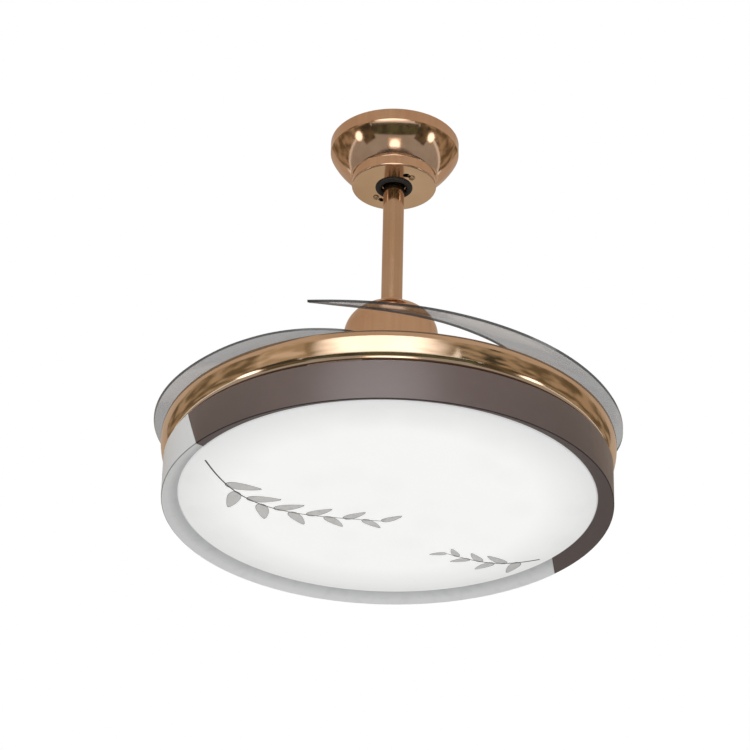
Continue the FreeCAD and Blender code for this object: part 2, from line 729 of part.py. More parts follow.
def set_screw_line(side):
    """Where a set screw of the coupling starts, on the rod, and ends, at the coupling's face."""
    z = ROD_BASE_Z + SET_SCREW_RISE
    return Vector(0, side * ROD_RADIUS, z), Vector(0, side * COUPLING_RADIUS, z)


def rod_coupling():
    """Turned coupling: the rod stands in its upper bore, the shaft in its lower one."""
    top = ROD_BASE_Z + ROD_GRIP
    body = cylinder(COUPLING_RADIUS, COUPLING_BASE_Z, top)
    reach = Vector(COUPLING_RADIUS + OVERRUN, 0, 0)
    pin = Vector(0, 0, ROD_BASE_Z + CLEVIS_RISE)
    cuts = [
        cylinder(ROD_RADIUS + FIT, ROD_BASE_Z, top + OVERRUN),
        cylinder(SHAFT_BORE_RADIUS, WEB_BASE_Z - OVERRUN, ROD_BASE_Z + OVERRUN),
        cylinder(SHAFT_RADIUS + FIT, COUPLING_BASE_Z - OVERRUN, WEB_BASE_Z),
        rod_between(pin - reach, pin + reach, CLEVIS_RADIUS + FIT),
    ]
    for side in (-1, 1):
        start, end = set_screw_line(side)
        cuts.append(rod_between(start, end + Vector(0, side * OVERRUN, 0), SET_SCREW_RADIUS + FIT))
    return cut_all(body, cuts)


def clevis_pin():
    """Headed pin through the coupling and the rod, with a cross hole for its clip."""
    z = ROD_BASE_Z + CLEVIS_RISE
    head = Vector(-COUPLING_RADIUS, 0, z)
    length = 2 * COUPLING_RADIUS + CLEVIS_TAIL
    body = screw(head, Vector(1, 0, 0), CLEVIS_RADIUS, length, CLEVIS_HEAD_RADIUS, CLEVIS_HEAD)
    hole = cylinder(CLIP_WIRE_RADIUS + FIT, z - 2 * CLEVIS_RADIUS, z + 2 * CLEVIS_RADIUS, clip_place())
    return body.cut(hole)


def clip_place():
    """The middle of the clip's hole in the clevis pin's tail."""
    return Vector(COUPLING_RADIUS + CLEVIS_TAIL / 2, 0, ROD_BASE_Z + CLEVIS_RISE)


def clevis_clip():
    """Spring clip: a straight leg through the pin and a loop round it."""
    place = clip_place()
    reach = UP * (CLIP_LOOP_RADIUS + CLIP_WIRE_RADIUS)
    leg = rod_between(place - reach, place + reach, CLIP_WIRE_RADIUS)
    loop = Part.makeTorus(CLIP_LOOP_RADIUS, CLIP_WIRE_RADIUS, place, Vector(1, 0, 0))
    return fused(leg, loop)


def coupling_screws():
    """Two set screws that press on the rod."""
    return [rod_between(*set_screw_line(side), SET_SCREW_RADIUS) for side in (-1, 1)]


# Motor


def motor_shaft():
    """Hollow standing shaft, thick between its bearings, with a collar over the lamp."""
    low = LOWER_BEARING_Z + BEARING_WIDTH
    body = fused(
        cylinder(SHAFT_RADIUS, SHAFT_BASE_Z, WEB_BASE_Z),
        cylinder(SHAFT_MIDDLE_RADIUS, low, UPPER_BEARING_Z),
        cylinder(SHAFT_COLLAR_RADIUS, CHASSIS_TOP_Z, CHASSIS_TOP_Z + SHAFT_COLLAR),
    )
    return body.cut(cylinder(SHAFT_BORE_RADIUS, SHAFT_BASE_Z - OVERRUN, WEB_BASE_Z + OVERRUN))


def bearing_inner(low):
    """Inner race of a ball bearing, with its ball track."""
    race = tube(SHAFT_RADIUS + RACE, SHAFT_RADIUS + FIT, low, low + BEARING_WIDTH)
    return race.cut(ball_track(low))


def bearing_track_radius():
    """The radius at which a bearing's balls run."""
    return (SHAFT_RADIUS + BEARING_RADIUS) / 2


def bearing_ball_radius():
    """The radius of a bearing's balls, which sink a little into both races."""
    return (BEARING_RADIUS - SHAFT_RADIUS) / 2 - RACE + BALL_TRACK_SINK


def ball_track(low):
    """The ring-shaped room in which a bearing's balls run."""
    middle = Vector(0, 0, low + BEARING_WIDTH / 2)
    return Part.makeTorus(bearing_track_radius(), bearing_ball_radius() + FIT, middle)


def bearing_outer(low):
    """Outer race of a ball bearing, and its balls."""
    race = tube(BEARING_RADIUS - FIT, BEARING_RADIUS - RACE, low, low + BEARING_WIDTH)
    ball = Part.makeSphere(bearing_ball_radius(), polar(bearing_track_radius(), 0, low + BEARING_WIDTH / 2))
    return [race.cut(ball_track(low)), *ring_copies(ball, BEARING_BALLS)]


def stator_core():
    """Laminated stator: a hub and teeth between twelve slots."""
    low, high = STATOR_Z, STATOR_Z + STATOR_HEIGHT
    body = tube(STATOR_RADIUS, SHAFT_MIDDLE_RADIUS + FIT, low, high)
    outer = STATOR_RADIUS + OVERRUN
    floor, head, mouth = SLOT_FLOOR_WIDTH / 2, SLOT_HEAD_WIDTH / 2, SLOT_MOUTH / 2
    corners = [
        (SLOT_FLOOR_RADIUS, -floor), (SLOT_HEAD_RADIUS, -head), (SLOT_HEAD_RADIUS, -mouth), (outer, -mouth),
        (outer, mouth), (SLOT_HEAD_RADIUS, mouth), (SLOT_HEAD_RADIUS, head), (SLOT_FLOOR_RADIUS, floor),
    ]
    points = [Vector(x, y, low - OVERRUN) for x, y in corners]
    wire = Part.makePolygon(points + points[:1])
    slot = Part.Face(wire).extrude(UP * (STATOR_HEIGHT + 2 * OVERRUN))
    return cut_all(body, ring_copies(slot, STATOR_SLOTS, 180 / STATOR_SLOTS))


def stator_windings():
    """A coil round each stator tooth."""
    low, high = STATOR_Z - FIT, STATOR_Z + STATOR_HEIGHT + FIT
    bore, side = COIL_BORE_WIDTH / 2, COIL_BORE_WIDTH / 2 + COIL_WALL
    outer = block(
        Vector(COIL_INNER_RADIUS, -side, low - COIL_OVERHANG),
        Vector(COIL_OUTER_RADIUS, side, high + COIL_OVERHANG),
    )
    inner = block(
        Vector(COIL_INNER_RADIUS - OVERRUN, -bore, low),
        Vector(COIL_OUTER_RADIUS + OVERRUN, bore, high),
    )
    corners = edges_along(outer, Vector(1, 0, 0))
    return ring_copies(outer.makeFillet(COIL_WALL, corners).cut(inner), STATOR_SLOTS)


def magnet_heights():
    """The lower and upper ends of the magnets, level with the stator's middle."""
    middle = STATOR_Z + STATOR_HEIGHT / 2
    return middle - MAGNET_HEIGHT / 2, middle + MAGNET_HEIGHT / 2


def rotor_magnets():
    """Magnets that face the stator across the air gap."""
    low, high = magnet_heights()
    half = MAGNET_SPREAD_SHARE * 180 / MAGNET_COUNT
    magnet = sector(MAGNET_INNER_RADIUS, MAGNET_OUTER_RADIUS, low, high, -half, half)
    return ring_copies(magnet, MAGNET_COUNT)


def rotor_ring():
    """Steel ring behind the magnets, pressed into the motor's shells."""
    low, high = magnet_heights()
    return tube(MOTOR_BORE_RADIUS - FIT, MAGNET_OUTER_RADIUS + FIT, low, high)


def motor_screw_cuts():
    """The screw holes through both flanges of the motor."""
    place = polar((MOTOR_RADIUS + JOINT_FLANGE_RADIUS) / 2, 0)
    low, high = PARTING_Z - JOINT_FLANGE - OVERRUN, PARTING_Z + JOINT_FLANGE + OVERRUN
    return ring_copies(cylinder(MOTOR_SCREW_RADIUS + FIT, low, high, place), MOTOR_SCREW_COUNT)


def motor_lower_shell():
    """Lower half of the motor's case, with the foot that stands on the tray."""
    hole = SHAFT_RADIUS + SHAFT_ROOM
    seat = BEARING_RADIUS + BEARING_SEAT_WALL
    base = FLOOR_Z + MOTOR_BASE
    flange = PARTING_Z - JOINT_FLANGE
    body = Section(hole, FLOOR_Z).lines(
        (MOTOR_BASE_RADIUS, FLOOR_Z), (MOTOR_BASE_RADIUS, base), (MOTOR_RADIUS, base),
        (MOTOR_RADIUS, flange), (JOINT_FLANGE_RADIUS, flange), (JOINT_FLANGE_RADIUS, PARTING_Z),
        (MOTOR_BORE_RADIUS, PARTING_Z), (MOTOR_BORE_RADIUS, base),
        (seat, base), (seat, base + BEARING_WIDTH),
        (BEARING_RADIUS, base + BEARING_WIDTH), (BEARING_RADIUS, base), (hole, base),
    ).turn()
    return cut_all(body, motor_screw_cuts() + tray_screw_cuts())


def motor_upper_shell():
    """Upper half of the motor's case: flange, wall and a domed top with cooling slots."""
    hole = SHAFT_RADIUS + SHAFT_ROOM
    seat = BEARING_RADIUS + BEARING_SEAT_WALL
    wall_top = PARTING_Z + UPPER_WALL
    dome_top = wall_top + UPPER_DOME
    flange = PARTING_Z + JOINT_FLANGE
    cover = UPPER_BEARING_Z + BEARING_WIDTH
    section = Section(MOTOR_BORE_RADIUS, PARTING_Z).lines(
        (JOINT_FLANGE_RADIUS, PARTING_Z), (JOINT_FLANGE_RADIUS, flange), (MOTOR_RADIUS, flange),
        (MOTOR_RADIUS, wall_top),
    )
    section.quarter(MOTOR_BOSS_RADIUS, dome_top, MOTOR_BOSS_RADIUS, wall_top)
    section.lines(
        (MOTOR_BOSS_RADIUS, MOTOR_TOP_Z), (hole, MOTOR_TOP_Z), (hole, cover), (BEARING_RADIUS, cover),
        (BEARING_RADIUS, UPPER_BEARING_Z), (seat, UPPER_BEARING_Z), (seat, dome_top - DOME_SHEET),
    )
    section.quarter(MOTOR_BORE_RADIUS, wall_top, seat, wall_top)
    vent = block(
        Vector(VENT_INNER_RADIUS, -VENT_WIDTH / 2, wall_top),
        Vector(VENT_OUTER_RADIUS, VENT_WIDTH / 2, MOTOR_TOP_Z),
    )
    slot = vent.makeFillet(VENT_WIDTH / 2 - FIT, edges_along(vent, UP))
    return cut_all(section.turn(), motor_screw_cuts() + ring_copies(slot, VENT_COUNT, 180 / VENT_COUNT))


def motor_screws():
    """Screws that close the motor's case."""
    top = polar((MOTOR_RADIUS + JOINT_FLANGE_RADIUS) / 2, 0, PARTING_Z + JOINT_FLANGE)
    body = screw(
        top, -UP, MOTOR_SCREW_RADIUS, 2 * JOINT_FLANGE, MOTOR_SCREW_HEAD_RADIUS, MOTOR_SCREW_HEAD
    )
    return ring_copies(body, MOTOR_SCREW_COUNT)


# Tray and the gears in it


def tray_screw_cuts():
    """The screw holes through the tray's floor into the motor's foot."""
    place = polar(TRAY_SCREW_CIRCLE, 0)
    hole = cylinder(TRAY_SCREW_RADIUS + FIT, TRAY_BASE_Z - OVERRUN, FLOOR_Z + MOTOR_BASE + OVERRUN, place)
    return ring_copies(hole, TRAY_SCREW_COUNT, PIVOT_ANGLE)


def tray_screws():
    """Screws from under the tray's floor into the motor's foot."""
    top = polar(TRAY_SCREW_CIRCLE, 0, TRAY_BASE_Z)
    body = screw(
        top, UP, TRAY_SCREW_RADIUS, TRAY_SHEET + MOTOR_BASE, TRAY_SCREW_HEAD_RADIUS, TRAY_SCREW_HEAD
    )
    return ring_copies(body, TRAY_SCREW_COUNT, PIVOT_ANGLE)


def blade_tray():
    """Polished spun tray: flat floor, bellied wall and a rim that curls in."""
    waist = TRAY_BASE_Z + TRAY_DEPTH - TRAY_RIM
    rim = TRAY_RADIUS - TRAY_RIM_INSET
    top = TRAY_BASE_Z + TRAY_DEPTH
    section = Section(TRAY_HOLE_RADIUS, TRAY_BASE_Z).lines((TRAY_BASE_RADIUS, TRAY_BASE_Z))
    section.quarter(TRAY_RADIUS, waist, TRAY_BASE_RADIUS, waist)
    section.quarter(rim, top, rim, waist)
    section.lines((rim, top - TRAY_SHEET))
    section.quarter(TRAY_RADIUS - TRAY_SHEET, waist, rim, waist)
    section.quarter(TRAY_BASE_RADIUS, FLOOR_Z, TRAY_BASE_RADIUS, waist)
    section.lines((TRAY_HOLE_RADIUS, FLOOR_Z))
    place = polar(PIVOT_RADIUS, PIVOT_ANGLE)
    post = cylinder(POST_RADIUS + FIT, TRAY_BASE_Z - OVERRUN, FLOOR_Z + OVERRUN, place)
    return cut_all(section.turn(), ring_copies(post, BLADE_COUNT) + tray_screw_cuts() + spring_foot_cuts())


def tooth_half_angle(teeth, radius):
    """Half the angle that a tooth of an involute gear takes up at a radius."""
    pitch_radius = MODULE * teeth / 2
    base_radius = pitch_radius * math.cos(math.radians(PRESSURE_ANGLE))

    def roll(at):
        lean = math.acos(min(1, base_radius / at))
        return math.tan(lean) - lean

    half = math.pi / (2 * teeth) - BACKLASH / (4 * pitch_radius)
    return math.degrees(half + roll(pitch_radius) - roll(radius))


def gear_radii(teeth):
    """The root, flank start and tip radii of a gear."""
    pitch_radius = MODULE * teeth / 2
    root = pitch_radius - DEDENDUM_SHARE * MODULE
    base = pitch_radius * math.cos(math.radians(PRESSURE_ANGLE))
    return root, max(root, base), pitch_radius + MODULE


def tooth_flank(teeth, centre, side):
    """One flank of a tooth, as points from its foot to its tip."""
    root, start, tip = gear_radii(teeth)
    radii = [start + (tip - start) * i / (FLANK_POINTS - 1) for i in range(FLANK_POINTS)]
    points = [polar(radius, centre + side * tooth_half_angle(teeth, radius)) for radius in radii]
    foot = polar(root, centre + side * tooth_half_angle(teeth, start))
    return foot, points


def flank_edges(foot, points):
    """The edges of one flank: a straight foot where the tooth has one, then its curve."""
    curve = Part.BSplineCurve()
    curve.interpolate(points)
    edges = [curve.toShape()]
    if (foot - points[0]).Length > FIT:
        edges.append(Part.LineSegment(foot, points[0]).toShape())
    return edges


def toothed_disc(teeth, centres, low, high):
    """A disc of a gear's root radius that has teeth at the given angles, in rising order."""
    root, start, tip = gear_radii(teeth)
    edges = []
    for index, centre in enumerate(centres):
        right_foot, right = tooth_flank(teeth, centre, -1)
        left_foot, left = tooth_flank(teeth, centre, 1)
        edges += flank_edges(right_foot, right) + flank_edges(left_foot, left)
        edges.append(Part.Arc(right[-1], polar(tip, centre), left[-1]).toShape())
        following = centres[index + 1] if index + 1 < len(centres) else centres[0] + 360
        half = tooth_half_angle(teeth, start)
        middle = polar(root, (centre + following) / 2)
        next_foot = polar(root, following - half)
        first = left_foot if start > root else left[0]
        edges.append(Part.Arc(first, middle, next_foot).toShape())
    face = Part.Face(Part.Wire(Part.__sortEdges__(edges)))
    body = face.extrude(UP * (high - low))
    body.translate(UP * low)
    return body


def sync_gear():
    """Ring gear round the motor's foot, toothed only where the blades' gears run."""
    turns = math.ceil(BLADE_SWING_ANGLE / HUB_PITCH_ANGLE)
    places = range(-SPARE_TEETH, turns + SPARE_TEETH + 1)
    centres = [
        PIVOT_ANGLE + BLADE_STEP_ANGLE * blade + RING_PITCH_ANGLE * place
        for blade in range(BLADE_COUNT) for place in places
    ]
    body = toothed_disc(RING_TEETH, centres, GEAR_Z, GEAR_TOP_Z)
    half = GEAR_WINDOW_SHARE * 180 / GEAR_WINDOW_COUNT
    low, high = GEAR_Z - OVERRUN, GEAR_TOP_Z + OVERRUN
    window = sector(GEAR_WINDOW_INNER_RADIUS, GEAR_WINDOW_OUTER_RADIUS, low, high, -half, half)
    bore = cylinder(MOTOR_RADIUS + CLEAR, low, high)
    return cut_all(body, [bore, *ring_copies(window, GEAR_WINDOW_COUNT, PIVOT_ANGLE)])


# Pivots. Each piece is drawn with its pivot on the axis and its fan centre towards -X, then set in place.


def at_pivot(shape, blade):
    """A copy of a piece drawn at the axis, moved to a blade's pivot."""
    copy = shape.copy()
    copy.translate(Vector(PIVOT_RADIUS, 0, 0))
    return turned_copy(copy, PIVOT_ANGLE + BLADE_STEP_ANGLE * blade)


def pivot_post():
    """Riveted post of a blade, with a flange under the bush and a groove for the clip."""
    groove_low = clip_low()
    crown = groove_low + CLIP_SHEET + POST_CROWN
    groove = POST_RADIUS - POST_GROOVE
    return Section(0, TRAY_BASE_Z - POST_TAIL).lines(
        (POST_TAIL_RADIUS, TRAY_BASE_Z - POST_TAIL), (POST_TAIL_RADIUS, TRAY_BASE_Z),
        (POST_RADIUS, TRAY_BASE_Z), (POST_RADIUS, FLOOR_Z), (POST_FLANGE_RADIUS, FLOOR_Z),
        (POST_FLANGE_RADIUS, FLOOR_Z + POST_FLANGE), (POST_RADIUS, FLOOR_Z + POST_FLANGE),
        (POST_RADIUS, groove_low - FIT), (groove, groove_low - FIT),
        (groove, groove_low + CLIP_SHEET + FIT),
        (POST_RADIUS, groove_low + CLIP_SHEET + FIT), (POST_RADIUS, crown), (0, crown),
    ).turn()


def clip_low():
    """The underside of the clip that keeps a blade on its post."""
    return CARRIER_TOP_Z + CLIP_LIFT


def pivot_clip():
    """Round clip in the post's groove."""
    low = clip_low()
    return tube(CLIP_RADIUS, POST_RADIUS - POST_GROOVE + FIT, low, low + CLIP_SHEET)


def blade_bush():
    """Plain bush between the post and the blade's gear and carrier."""
    low = FLOOR_Z + POST_FLANGE + BUSH_RISE
    return tube(BUSH_RADIUS, POST_RADIUS + RUNNING, low, CARRIER_TOP_Z)


def blade_gear():
    """Toothed sector with the barrel that the return spring is wound round."""
    turns = math.ceil(BLADE_SWING_ANGLE / HUB_PITCH_ANGLE)
    last = 180 + HUB_PITCH_ANGLE / 2 + HUB_PITCH_ANGLE * (SPARE_TEETH - 1)
    count = turns + 2 * SPARE_TEETH
    centres = [last - HUB_PITCH_ANGLE * (count - 1 - place) for place in range(count)]
    disc = toothed_disc(HUB_TEETH, centres, GEAR_Z, GEAR_TOP_Z)
    barrel = cylinder(BARREL_RADIUS, GEAR_Z, CARRIER_Z)
    bore = cylinder(BUSH_RADIUS + FIT, GEAR_Z - OVERRUN, CARRIER_Z + OVERRUN)
    return fused(disc, barrel).cut(bore)


def carrier_axes():
    """The carrier's directions along its arm and across it."""
    return polar(1, CARRIER_HEADING_ANGLE), polar(1, CARRIER_HEADING_ANGLE + 90)


def blade_screw_places():
    """The three screws of a blade, round and beyond its pivot along the carrier."""
    along, across = carrier_axes()
    near, far, half = BLADE_SCREW_FIRST, BLADE_SCREW_SECOND, BLADE_SCREW_SPREAD / 2
    return [along * near + across * half, along * near - across * half, along * far]


def blade_carrier():
    """Flat arm that closes the barrel and carries the blade's root."""
    along, across = carrier_axes()
    nose = cylinder(CARRIER_NOSE_RADIUS, CARRIER_Z, CARRIER_TOP_Z)
    half = CARRIER_TAIL_WIDTH / 2
    root = CARRIER_NOSE_RADIUS
    end = along * CARRIER_LENGTH
    corners = [across * root, end + across * half, end - across * half, across * -root]
    points = [Vector(point.x, point.y, CARRIER_Z) for point in corners]
    arm = Part.Face(Part.makePolygon(points + points[:1])).extrude(UP * CARRIER_THICKNESS)
    tips = [edge for edge in edges_along(arm, UP) if edge.CenterOfMass.dot(along) > CARRIER_LENGTH / 2]
    body = fused(arm.makeFillet(CARRIER_TAIL_EDGE, tips), nose)
    low, high = CARRIER_Z - OVERRUN, CARRIER_TOP_Z + OVERRUN
    holes = [cylinder(BUSH_RADIUS + FIT, low, high)]
    for place in blade_screw_places():
        holes.append(cylinder(BLADE_SCREW_RADIUS + FIT, low, high, place))
    return cut_all(body, holes)


def blade_screws():
    """Three screws that hold a blade on its carrier."""
    top = BLADE_Z + BLADE_THICKNESS
    length = top - CARRIER_Z
    screws = []
    for place in blade_screw_places():
        head = Vector(place.x, place.y, top)
        screws.append(
            screw(head, -UP, BLADE_SCREW_RADIUS, length, BLADE_SCREW_HEAD_RADIUS, BLADE_SCREW_HEAD)
        )
    return screws


def arc_from(start, heading, end):
    """The arc that leaves a point along a heading and ends at another point."""
    chord = end - start
    along = chord * (1 / chord.Length)
    aside = heading - along * heading.dot(along)
    bend = math.atan2(aside.Length, heading.dot(along))
    bulge = aside * (1 / aside.Length) * (chord.Length / 2 * math.tan(bend / 2))
    return Part.Arc(start, (start + end) * (1 / 2) + bulge, end).toShape()


def biarc(start, start_heading, end, end_heading):
    """Two tangent arcs between two points with given headings."""
    chord = end - start
    lean = chord.dot(start_heading + end_heading)
    spread = 2 * (1 - start_heading.dot(end_heading))
    reach = (math.sqrt(lean**2 + spread * chord.dot(chord)) - lean) / spread
    first = start + start_heading * reach
    second = end - end_heading * reach
    middle = (first + second) * (1 / 2)
    heading = (second - first) * (1 / (second - first).Length)
    return [arc_from(start, start_heading, middle), arc_from(middle, heading, end)]


def spring_point(turn):
    """A point of the spring's coil after so many turns, and its heading there."""
    run = math.sqrt(SPRING_FOOT_RADIUS**2 - SPRING_RADIUS**2)
    first = math.degrees(math.atan2(run, SPRING_RADIUS))
    angle = first + 360 * turn
    low = GEAR_TOP_Z + SPRING_WIRE_RADIUS + SPRING_LIFT
    point = polar(SPRING_RADIUS, angle, low + SPRING_PITCH * turn)
    heading = polar(2 * math.pi * SPRING_RADIUS, angle + 90, SPRING_PITCH)
    return point, heading * (1 / heading.Length)


def return_spring():
    """Torsion spring round a blade's barrel, wound in quarter turns, with its foot in the tray's floor."""
    start, heading = spring_point(0)
    run = math.sqrt(SPRING_FOOT_RADIUS**2 - SPRING_RADIUS**2)
    knee = start - heading * run
    bend = SPRING_BEND_RADIUS
    foot = Vector(knee.x, knee.y, TRAY_BASE_Z)
    below = Vector(knee.x, knee.y, knee.z - bend)
    beyond = knee + heading * bend
    edges = [Part.LineSegment(foot, below).toShape(), arc_from(below, UP, beyond)]
    edges.append(Part.LineSegment(beyond, start).toShape())
    for quarter in range(4 * SPRING_TURNS):
        edges += biarc(*spring_point(quarter / 4), *spring_point((quarter + 1) / 4))
    end, heading = spring_point(SPRING_TURNS)
    edges.append(Part.LineSegment(end, end + heading * SPRING_TAIL).toShape())
    path = Part.Wire(edges)
    circle = Part.Circle(foot, UP, SPRING_WIRE_RADIUS).toShape()
    body = path.makePipeShell([Part.Wire([circle])], True, False)
    expected = math.pi * SPRING_WIRE_RADIUS**2 * path.Length
    print(f"return spring: volume over section times length {body.Volume / expected:.4f}")
    print(f"return spring: least gap between turns {SPRING_PITCH - 2 * SPRING_WIRE_RADIUS:.2f} mm")
    return body


def spring_foot_cuts():
    """The holes in the tray's floor for the springs' feet."""
    start, heading = spring_point(0)
    run = math.sqrt(SPRING_FOOT_RADIUS**2 - SPRING_RADIUS**2)
    foot = start - heading * run
    hole = cylinder(SPRING_WIRE_RADIUS + FIT, TRAY_BASE_Z - OVERRUN, FLOOR_Z + OVERRUN, foot)
    return [at_pivot(hole, blade) for blade in range(BLADE_COUNT)]


# Blades, drawn with their pivot at angle zero


def blade_section(along, inset, width, pitch, lift):
    """One section of a blade, in the upright plane through the fan's axis."""
    angle = -BLADE_SPAN_ANGLE * along
    outer = BLADE_RADIUS - inset * BLADE_WIDTH
    chord = width * BLADE_WIDTH
    lean = math.radians(pitch * BLADE_PITCH_ANGLE)
    base = BLADE_Z + lift * BLADE_LIFT
    rise = chord * math.tan(lean)
    normal = polar(math.sin(lean), angle, math.cos(lean))
    low_outer = polar(outer, angle, base)
    low_inner = polar(outer - chord, angle, base + rise)
    middle = (low_outer + low_inner) * (1 / 2) + normal * (2 * BLADE_CAMBER * pitch * width)
    skin = normal * BLADE_THICKNESS
    below, above = Part.BezierCurve(), Part.BezierCurve()
    below.setPoles([low_outer, middle, low_inner])
    above.setPoles([low_inner + skin, middle + skin, low_outer + skin])
    return Part.Wire([
        below.toShape(),
        Part.LineSegment(low_inner, low_inner + skin).toShape(),
        above.toShape(),
        Part.LineSegment(low_outer + skin, low_outer).toShape(),
    ])


def blade():
    """A curved, pitched blade with its pivot's eye, its screw holes and flat seats for their heads."""
    body = Part.makeLoft([blade_section(*row) for row in BLADE_SHARES], True, False)
    low, high = BLADE_Z - BLADE_THICKNESS, BLADE_Z + 2 * BLADE_THICKNESS
    seat = BLADE_Z + BLADE_THICKNESS
    pivot = Vector(PIVOT_RADIUS, 0, 0)
    holes = [cylinder(CLIP_RADIUS + BLADE_EYE_ROOM, low, high, pivot)]
    for place in blade_screw_places():
        holes.append(cylinder(BLADE_SCREW_RADIUS + FIT, low, high, pivot + place))
        holes.append(cylinder(BLADE_SCREW_HEAD_RADIUS + FIT, seat, high, pivot + place))
    return cut_all(body, holes)


# Lamp


def chassis_screw_cuts():
    """The screw holes through the chassis and the plate under it."""
    place = polar(CHASSIS_SCREW_CIRCLE, 0)
    hole = cylinder(CHASSIS_SCREW_RADIUS + FIT, PLATE_BASE_Z - OVERRUN, CHASSIS_TOP_Z + OVERRUN, place)
    return ring_copies(hole, CHASSIS_SCREW_COUNT)


def shaft_hole():
    """The hole through the chassis and the plate under it for the shaft's end."""
    return cylinder(SHAFT_RADIUS + CHASSIS_HOLE_ROOM, PLATE_BASE_Z - OVERRUN, CHASSIS_TOP_Z + OVERRUN)


def lamp_chassis():
    """Sheet pan that carries the boards, with three lugs for the shade."""
    low = CHASSIS_TOP_Z - CHASSIS_RIM
    pan = cylinder(CHASSIS_RADIUS, low, CHASSIS_TOP_Z)
    hollow = cylinder(CHASSIS_RADIUS - CHASSIS_SHEET, low - OVERRUN, CHASSIS_BASE_Z)
    half = LUG_SPREAD_ANGLE / 2
    root, tip = CHASSIS_RADIUS - CHASSIS_SHEET, CHASSIS_RADIUS + LUG_REACH
    lug = sector(root, tip, CHASSIS_BASE_Z, CHASSIS_TOP_Z, -half, half)
    body = fused(pan.cut(hollow), *ring_copies(lug, LUG_COUNT, LUG_ANGLE))
    return cut_all(body, [shaft_hole(), *chassis_screw_cuts()])


def lamp_plate():
    """Stiff plate that clamps the chassis on the shaft's end."""
    body = cylinder(LAMP_PLATE_RADIUS, PLATE_BASE_Z, CHASSIS_BASE_Z)
    return cut_all(body, [shaft_hole(), *chassis_screw_cuts()])


def shaft_nut():
    """Hexagon nut on the shaft's end."""
    corner = NUT_ACROSS_FLATS / math.sqrt(3)
    points = [polar(corner, 60 * side, NUT_BASE_Z) for side in range(7)]
    body = Part.Face(Part.makePolygon(points)).extrude(UP * NUT_HEIGHT)
    return body.cut(cylinder(SHAFT_RADIUS + FIT, NUT_BASE_Z - OVERRUN, PLATE_BASE_Z + OVERRUN))


def chassis_screws():
    """Screws that pin the plate to the chassis."""
    top = polar(CHASSIS_SCREW_CIRCLE, 0, PLATE_BASE_Z)
    length = LAMP_PLATE + CHASSIS_SHEET
    body = screw(top, UP, CHASSIS_SCREW_RADIUS, length, CHASSIS_SCREW_HEAD_RADIUS, CHASSIS_SCREW_HEAD)
    return ring_copies(body, CHASSIS_SCREW_COUNT)


def led_board():
    """Ring-shaped circuit board under the chassis."""
    return tube(BOARD_OUTER_RADIUS, BOARD_INNER_RADIUS, CHASSIS_BASE_Z - BOARD_SHEET, CHASSIS_BASE_Z)


def led_lenses():
    """Lenses over the light sources, in two rings under the board."""
    top = CHASSIS_BASE_Z - BOARD_SHEET
    low = top - LENS_HEIGHT
    width, height = cap_middle(LENS_RADIUS, LENS_HEIGHT)
    dome = Section(0, top).lines((LENS_RADIUS, top)).arc(width, low + height, 0, low)
    lenses = []
    for radius, count in ((INNER_LENS_CIRCLE, INNER_LENS_COUNT), (OUTER_LENS_CIRCLE, OUTER_LENS_COUNT)):
        lens = dome.turn()
        lens.translate(Vector(radius, 0, 0))
        lenses += ring_copies(lens, count, 180 / count)
    return lenses


def control_box(side):
    """A closed box under the plate, beside the shaft's nut."""
    low = Vector(-BOX_LENGTH / 2, side * BOX_OFFSET - BOX_WIDTH / 2, PLATE_BASE_Z - BOX_HEIGHT)
    body = block(low, Vector(BOX_LENGTH / 2, side * BOX_OFFSET + BOX_WIDTH / 2, PLATE_BASE_Z))
    edges = [edge for edge in body.Edges if edge.BoundBox.ZMax < PLATE_BASE_Z]
    return body.makeFillet(BOX_EDGE, edges)


# Shade


def trim_ring():
    """The whole trim ring: wall, sloping lip below and a notched flange above."""
    lip = LIP_RISE
    slope = math.atan2(lip, LIP_WIDTH)
    drop = RING_SHEET / math.cos(slope)
    inner_foot = RING_BASE_Z + drop + RING_SHEET * math.tan(slope)
    body = Section(RING_RADIUS, RING_TOP_Z).lines(
        (RING_RADIUS, RING_BASE_Z + RING_EDGE), (RING_RADIUS - RING_EDGE, RING_BASE_Z),
        (LIP_RADIUS, RING_BASE_Z + lip), (LIP_RADIUS, RING_BASE_Z + lip + drop),
        (RING_BORE_RADIUS, inner_foot), (RING_BORE_RADIUS, RING_TOP_Z - RING_SHEET),
        (RING_RADIUS - RING_FLANGE, RING_TOP_Z - RING_SHEET), (RING_RADIUS - RING_FLANGE, RING_TOP_Z),
    ).turn()
    half = LUG_SPREAD_ANGLE / 2 + NOTCH_ROOM_ANGLE
    inner, outer = RING_RADIUS - RING_FLANGE - OVERRUN, CHASSIS_RADIUS + LUG_REACH + CLEAR
    low, high = RING_TOP_Z - RING_SHEET - OVERRUN, RING_TOP_Z + OVERRUN
    notch = sector(inner, outer, low, high, -half, half)
    return cut_all(body, ring_copies(notch, LUG_COUNT, LUG_ANGLE - SHADE_TWIST_ANGLE))


def seam_block(angle, side):
    """A large block whose face is a slanted seam, on the side that rising or falling angles lie."""
    size = 2 * RING_RADIUS
    low = Vector(-size, 0 if side > 0 else -size, -size)
    body = block(low, Vector(size, size if side > 0 else 0, size))
    body.rotate(ORIGIN, Vector(1, 0, 0), SEAM_TILT_ANGLE)
    body.rotate(ORIGIN, UP, SEAM_SKEW_ANGLE)
    body.translate(Vector(RING_RADIUS, 0, (RING_BASE_Z + RING_TOP_Z) / 2))
    return turned_copy(body, angle)


